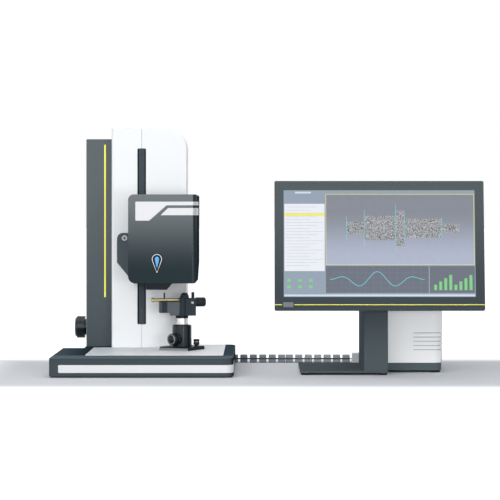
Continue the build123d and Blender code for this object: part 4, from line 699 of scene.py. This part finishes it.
def make_indicator():
    """Black bed, a black rim of painted shadow, and faceted blue lens, inside and round the silver ring on
    the head.
    """
    ring_low, ring_high = node_box("indicator_bezel")
    radius = (ring_high.x - ring_low.x) / 2
    centre_x = (ring_low.x + ring_high.x) / 2
    centre_z = ring_high.z - radius
    lens_back = node_box("indicator_lens")[1].y
    face = node_box("head_front_shell")[0].y
    ring_w, bed_t, shadow_rim_t = 2.4, 0.4, 0.35
    drop_plate("indicator_bed", (radius - ring_w, centre_x, centre_z), (0.9, centre_x, ring_low.z + 5.5),
               lens_back, bed_t)
    # A black rim shifted down and right round the ring: painted shadow
    shadow_rim_w, shift = 2.2, 0.4
    drop_plate("indicator_shadow_rim", (radius + shadow_rim_w, centre_x + shift, centre_z - shift),
               (3.4, centre_x + shift, ring_low.z + 0.6), face, shadow_rim_t)

    narrower, facet_w, facet_rise, facet_angle = 0.84, 0.9, 0.3, 20.0
    lens = node_copy("indicator_lens")
    lens_middle = Matrix.Translation((-centre_x * MM, 0, 0))
    bmesh.ops.scale(lens, vec=(narrower, 1, 1), verts=lens.verts, space=lens_middle)
    front = [face for face in lens.faces if face.normal.y < -0.9]
    bmesh.ops.inset_region(lens, faces=front, thickness=facet_w * MM, depth=facet_rise * MM,
                           use_even_offset=True)
    finished(lens, "indicator_lens_dressed", "head", "blue_lens",
             ("indicator_lens",), facet_angle)


def drop_plate(name, large, small, back, thick):
    """A black drop-shaped plate on the head, round two circles of (radius, x, height)."""
    mesh = bmesh.new()
    for radius, x, height in (large, small):
        disc = bmesh.ops.create_cone(mesh, cap_ends=True, segments=48, radius1=radius * MM,
                                     radius2=radius * MM, depth=thick * MM)["verts"]
        bmesh.ops.rotate(mesh, cent=(0, 0, 0), matrix=Matrix.Rotation(math.radians(90), 3, "X"), verts=disc)
        bmesh.ops.translate(mesh, vec=Vector((x, back - thick / 2, height)) * MM, verts=disc)
    bmesh.ops.delete(mesh, geom=mesh.faces[:], context="FACES_ONLY")
    bmesh.ops.convex_hull(mesh, input=mesh.verts)
    bmesh.ops.dissolve_limit(mesh, angle_limit=math.radians(0.5), verts=mesh.verts, edges=mesh.edges)
    bmesh.ops.recalc_face_normals(mesh, faces=mesh.faces)
    finished(mesh, name, "head", "indicator_black")


# Monitor: its panel leans back, and pieces are laid out from its lower left corner
LEAN = math.radians(7)
MONITOR_OUT = Vector((0, -math.cos(LEAN), math.sin(LEAN)))


def leaning_face(node):
    """Lower left corner of a leaning plate's front, and its width and height along the lean, in mm."""
    low, high = node_box(node)
    depth, height = high.y - low.y, high.z - low.z
    spread = math.cos(LEAN) ** 2 - math.sin(LEAN) ** 2
    tall = (height * math.cos(LEAN) - depth * math.sin(LEAN)) / spread
    thick = (depth * math.cos(LEAN) - height * math.sin(LEAN)) / spread
    return Vector((low.x, low.y, low.z + thick * math.sin(LEAN))), high.x - low.x, tall


def lay_on(mesh, corner, name, finish):
    """Lays flat shapes, drawn in mm from a corner, on the monitor's leaning front."""
    place(mesh, corner * MM, (1, 0, 0), MONITOR_OUT)
    finished(mesh, name, "monitor", finish)


def make_screen():
    """A generic measuring screen of fields, a turned pin, a wave and rows, with no lettering."""
    corner, width, height = leaning_face("screen_panel")
    margin, gap, header = 5.0, 3.0, 9.0
    list_w, graph_h, chart_w = 112.0, 84.0, 125.0
    left, right, low, high = margin, width - margin, margin, height - margin
    side_right, split = left + list_w, low + graph_h

    def flat(name, finish, blocks, level=0.2):
        mesh = bmesh.new()
        for block in blocks:
            x0, y0, x1, y1 = block[:4]
            turn = block[4] if len(block) > 4 else 0.0
            add_block(mesh, (x0, y0, 0.02), (x1, y1, level), turn)
        lay_on(mesh, corner, name, finish)

    def outline(x0, y0, x1, y1, line):
        level_lines = [(x0, y0, x1, y0 + line), (x0, y1 - line, x1, y1)]
        return level_lines + [(x0, y0, x0 + line, y1), (x1 - line, y0, x1, y1)]

    view = (side_right + gap, split + gap, right, high - header)
    wave = (side_right + gap, low + header, right - chart_w - gap, split)
    bars = (wave[2] + gap, low + header, right, split)
    table = (left, low + 70, side_right, high - 36)
    flat("screen_view", "screen_view", [view])
    flat("screen_graphs", "screen_graph", [wave, bars])
    flat("screen_strips", "screen_strip",
         [(left, low, right, low + 5), (left + 30, high - 7, left + 74, high - 2)])
    flat("screen_table", "screen_list", [table])

    row_h, row_line = 8.6, 0.9
    rows = int((table[3] - table[1]) / row_h)
    flat("screen_rows", "screen_row",
         [(table[0] + 4, table[3] - i * row_h - row_line, table[2] - 4 - 18 * (i % 3), table[3] - i * row_h)
          for i in range(1, rows)], 0.3)
    marks = outline(*view, 1.1)
    marks.append((table[0], table[3] - 4 * row_h, table[2], table[3] - 3 * row_h - 1.0))
    flat("screen_yellow_marks", "screen_yellow", marks, 0.35)

    grid_line = 0.5
    grid = [(wave[0], wave[1] + 14 * i, wave[2], wave[1] + 14 * i + grid_line) for i in range(1, 5)]
    grid += [(wave[0] + 22 * i, wave[1], wave[0] + 22 * i + grid_line, wave[3]) for i in range(1, 13)]
    flat("screen_grid", "screen_grid", [line for line in grid if line[2] <= wave[2]], 0.3)

    steps, inset, swing, waves = 44, 12, 22.0, 2.5
    middle = (wave[1] + wave[3]) / 2
    trace = [(wave[0] + inset + (wave[2] - wave[0] - 2 * inset) * i / steps,
              middle + swing * math.sin(waves * math.tau * i / steps) * math.sin(math.pi * i / steps))
             for i in range(steps + 1)]
    strokes = []
    half_line, overlap = 0.8, 0.5
    for (x0, y0), (x1, y1) in zip(trace, trace[1:]):
        half = math.hypot(x1 - x0, y1 - y0) / 2 + overlap
        mid_x, mid_y = (x0 + x1) / 2, (y0 + y1) / 2
        slope = math.atan2(y1 - y0, x1 - x0)
        strokes.append((mid_x - half, mid_y - half_line, mid_x + half, mid_y + half_line, slope))

    pin_mid = view[1] + 0.52 * (view[3] - view[1])
    span = view[2] - view[0]
    pin = [(0.14, 0.26, 17), (0.26, 0.47, 34), (0.47, 0.53, 50), (0.53, 0.78, 27), (0.78, 0.90, 12)]
    barrels = []
    for start, end, half in pin:
        x0, x1 = view[0] + start * span, view[0] + end * span
        barrels.append((x0, pin_mid - half, x1, pin_mid + half))
        strokes.append((x0 - 0.6, pin_mid - half - 16, x0 + 0.6, pin_mid + half + 16))
    flat("screen_pin", "screen_scan", barrels, 0.3)
    flat("screen_cyan_lines", "screen_cyan", strokes, 0.4)

    spots = []
    for i in range(8):
        x, y = bars[0] + 12 + 14 * i, bars[1] + 8
        spots.append((x, y, x + 8, y + 6 + 9 * (1 + (5 * i) % 4)))
    for i in range(6):
        x, y = left + 8 + 30 * (i % 3), low + 22 + 18 * (i // 3)
        spots.append((x, y, x + 10, y + 8))
    flat("screen_green_marks", "screen_green", spots, 0.35)


def make_badge():
    """Bare badge on the bezel, on a dark bed that parts the yellow line."""
    corner = leaning_face("monitor_bezel")[0]
    trim_low, trim_high = node_box("monitor_trim")
    line_up = ((trim_low.z + trim_high.z) / 2 - corner.z) / math.cos(LEAN)
    badge_left, badge_w, badge_h, border = 24.0, 28.0, 14.0, 3.0
    badge_right = badge_left + badge_w
    bed = bmesh.new()
    add_block(bed, (badge_left - border, line_up - badge_h / 2 - 0.5, 0.05),
              (badge_right + border, line_up + badge_h / 2 + 0.5, 0.75))
    bevel_sharp(bed, 0.3 * MM)
    lay_on(bed, corner, "badge_bed", "monitor_plastic")
    badge = bmesh.new()
    add_block(badge, (badge_left, line_up - badge_h / 2, 0.5), (badge_right, line_up + badge_h / 2, 1.3))
    bevel_sharp(badge, 0.4 * MM, 3)
    lay_on(badge, corner, "bare_badge", "badge_grey")


def make_vent_liner():
    """Pale liner behind the controller's vents, along its front, round its corner and along its side."""
    low, high = node_box("controller_cover")
    wall, liner_t, slack = 3.4, 1.0, 0.6
    vent_low, vent_high = 58.0, 122.0
    reach, corner, steps = 92.0, 26.0, 4
    mesh = bmesh.new()
    add_block(mesh, (high.x - reach, low.y + wall, vent_low),
              (high.x - corner, low.y + wall + liner_t, vent_high))
    add_block(mesh, (high.x - wall - liner_t, low.y + corner, vent_low),
              (high.x - wall, low.y + reach, vent_high))
    arc = corner - wall - liner_t - slack
    half = arc * math.tan(math.pi / 4 / steps) + 0.5
    for step in range(steps):
        angle = math.pi / 2 * (step + 0.5) / steps
        x = high.x - corner + arc * math.sin(angle)
        y = low.y + corner - arc * math.cos(angle)
        add_block(mesh, (x - half, y - liner_t / 2, vent_low), (x + half, y + liner_t / 2, vent_high), angle)
    finished(mesh, "vent_liner", "base", "vent_grey")


def make_rear_screws():
    """Pan-head screws round the tower's rear panel."""
    low, high = node_box("tower_rear_panel")
    inset, top_gap = 9.0, 60.0
    head_r, head_h, socket_r, socket_floor = 3.2, 1.7, 1.5, 0.6
    profile = [(0, socket_floor), (socket_r, socket_floor), (socket_r, head_h), (head_r - 0.8, head_h),
               (head_r, head_h - 0.9), (head_r, 0)]
    mesh = bmesh.new()
    for x in (low.x + inset, high.x - inset):
        for part in (0.0, 0.5, 1.0):
            z = low.z + inset + part * (high.z - low.z - 2 * inset - top_gap)
            screw = turned(profile, 24)
            place(screw, Vector((x, high.y, z)) * MM, (1, 0, 0), (0, 1, 0))
            data = bpy.data.meshes.new("screw")
            screw.to_mesh(data)
            screw.free()
            mesh.from_mesh(data)
            bpy.data.meshes.remove(data)
    finished(mesh, "rear_panel_screws", "base", "machined_steel")


finish_housings()
make_base_skirt()
make_link_line()
finish_fixture()
make_nut_crown()
make_bracket_socket()
make_clamp_trim()
make_lock_band()
make_slot_brushes()
make_indicator()
make_screen()
make_badge()
make_vent_liner()
make_rear_screws()


# Floor, backdrop light and lamps
AMBIENT = 0.62
FLOOR_SIZE = 40.0
FLOOR_COLOUR = (0.62, 0.635, 0.66, 1)
FLOOR_BOUNCE = (0.42, 0.43, 0.44, 1)
FLOOR_LIFT = 0.8
FLOOR_FADE_X = (0.0, 0.72, 1.05)
FLOOR_FADE_Y = (-0.07, 0.37, 0.60)


def seen_ray(tree):
    """1 for a ray from the camera, or one seen in a reflection or through glass."""
    ray = add_node(tree, "ShaderNodeLightPath").outputs
    direct = maths(tree, "MAXIMUM", ray["Is Camera Ray"], ray["Is Glossy Ray"])
    return maths(tree, "MAXIMUM", direct, ray["Is Transmission Ray"])


def build_stage():
    """A pale floor under plain soft light, with a white surround for the camera and for reflections."""
    mesh = bmesh.new()
    bmesh.ops.create_grid(mesh, x_segments=1, y_segments=1, size=FLOOR_SIZE)
    data = bpy.data.meshes.new("floor")
    mesh.to_mesh(data)
    mesh.free()
    floor = bpy.data.objects.new("floor", data)
    bpy.context.scene.collection.objects.link(floor)
    material, tree, shader, coords = new_material("floor")
    shader.inputs["Base Color"].default_value = FLOOR_COLOUR
    shader.inputs["Roughness"].default_value = 0.85
    shader.inputs["Specular IOR Level"].default_value = 0.05
    along = add_node(tree, "ShaderNodeSeparateXYZ", {0: coords}).outputs
    fades = []
    for axis, (middle, near, far) in (("X", FLOOR_FADE_X), ("Y", FLOOR_FADE_Y)):
        off = maths(tree, "ABSOLUTE", maths(tree, "SUBTRACT", along[axis], middle))
        fades.append(ramp(tree, off, near, far, 0.0, FLOOR_LIFT, "SMOOTHSTEP"))
    paler = maths(tree, "MAXIMUM", *fades)
    lift = add_node(tree, "ShaderNodeEmission", {"Color": (1, 1, 1, 1), "Strength": paler}).outputs[0]
    lifted = add_node(tree, "ShaderNodeAddShader", {0: shader.outputs[0], 1: lift}).outputs[0]
    bounce = add_node(tree, "ShaderNodeBsdfDiffuse", {"Color": FLOOR_BOUNCE}).outputs[0]
    shown = add_node(tree, "ShaderNodeMixShader", {0: seen_ray(tree), 1: bounce, 2: lifted})
    tree.links.new(shown.outputs[0], tree.nodes["Material Output"].inputs["Surface"])
    data.materials.append(material)

    world = bpy.data.worlds.new("surround")
    bpy.context.scene.world = world
    world.use_nodes = True
    tree = world.node_tree
    tree.nodes.clear()
    ambient = add_node(tree, "ShaderNodeBackground", {"Color": (0.96, 0.98, 1.0, 1), "Strength": AMBIENT})
    white = add_node(tree, "ShaderNodeBackground", {"Color": (1, 1, 1, 1), "Strength": 1.0})
    chosen = add_node(tree, "ShaderNodeMixShader",
                      {0: seen_ray(tree), 1: ambient.outputs[0], 2: white.outputs[0]})
    out = add_node(tree, "ShaderNodeOutputWorld")
    tree.links.new(chosen.outputs[0], out.inputs["Surface"])


def add_lamp(name, where, target, size, power, tall=None, spread=180):
    """A soft lamp at a place, turned to a target, all in metres. tall makes it an upright strip."""
    data = bpy.data.lights.new(name, "AREA")
    data.size = size
    if tall:
        data.shape = "RECTANGLE"
        data.size_y = tall
    data.energy = power
    data.spread = math.radians(spread)
    lamp = bpy.data.objects.new(name, data)
    lamp.location = where
    direction = Vector(target) - Vector(where)
    lamp.rotation_euler = direction.to_track_quat("-Z", "Y").to_euler()
    bpy.context.scene.collection.objects.link(lamp)


KEY_WATTS = 42.0
FRONT_WATTS = 36.0
TOP_WATTS = 24.0
LOW_WATTS = 3.3
STRIP_WATTS = 4.5

build_stage()
add_lamp("key_lamp", (-2.0, -3.2, 2.2), (-0.1, 0.0, 0.3), 1.4, KEY_WATTS)
add_lamp("front_lamp", (-0.5, -3.8, 0.9), (0.0, 0.0, 0.25), 2.4, FRONT_WATTS)
add_lamp("top_lamp", (0.0, -0.2, 3.0), (0.0, 0.0, 0.3), 2.4, TOP_WATTS)
add_lamp("low_lamp", (0.8, -3.0, 0.25), (0.42, 0.1, 0.12), 0.45, LOW_WATTS, spread=70)
add_lamp("right_strip", (1.2, -2.7, 0.7), (-0.25, 0.0, 0.35), 0.12, STRIP_WATTS, 1.7)
add_lamp("left_strip", (-1.9, -2.4, 0.7), (-0.3, 0.0, 0.3), 0.12, STRIP_WATTS, 1.5)
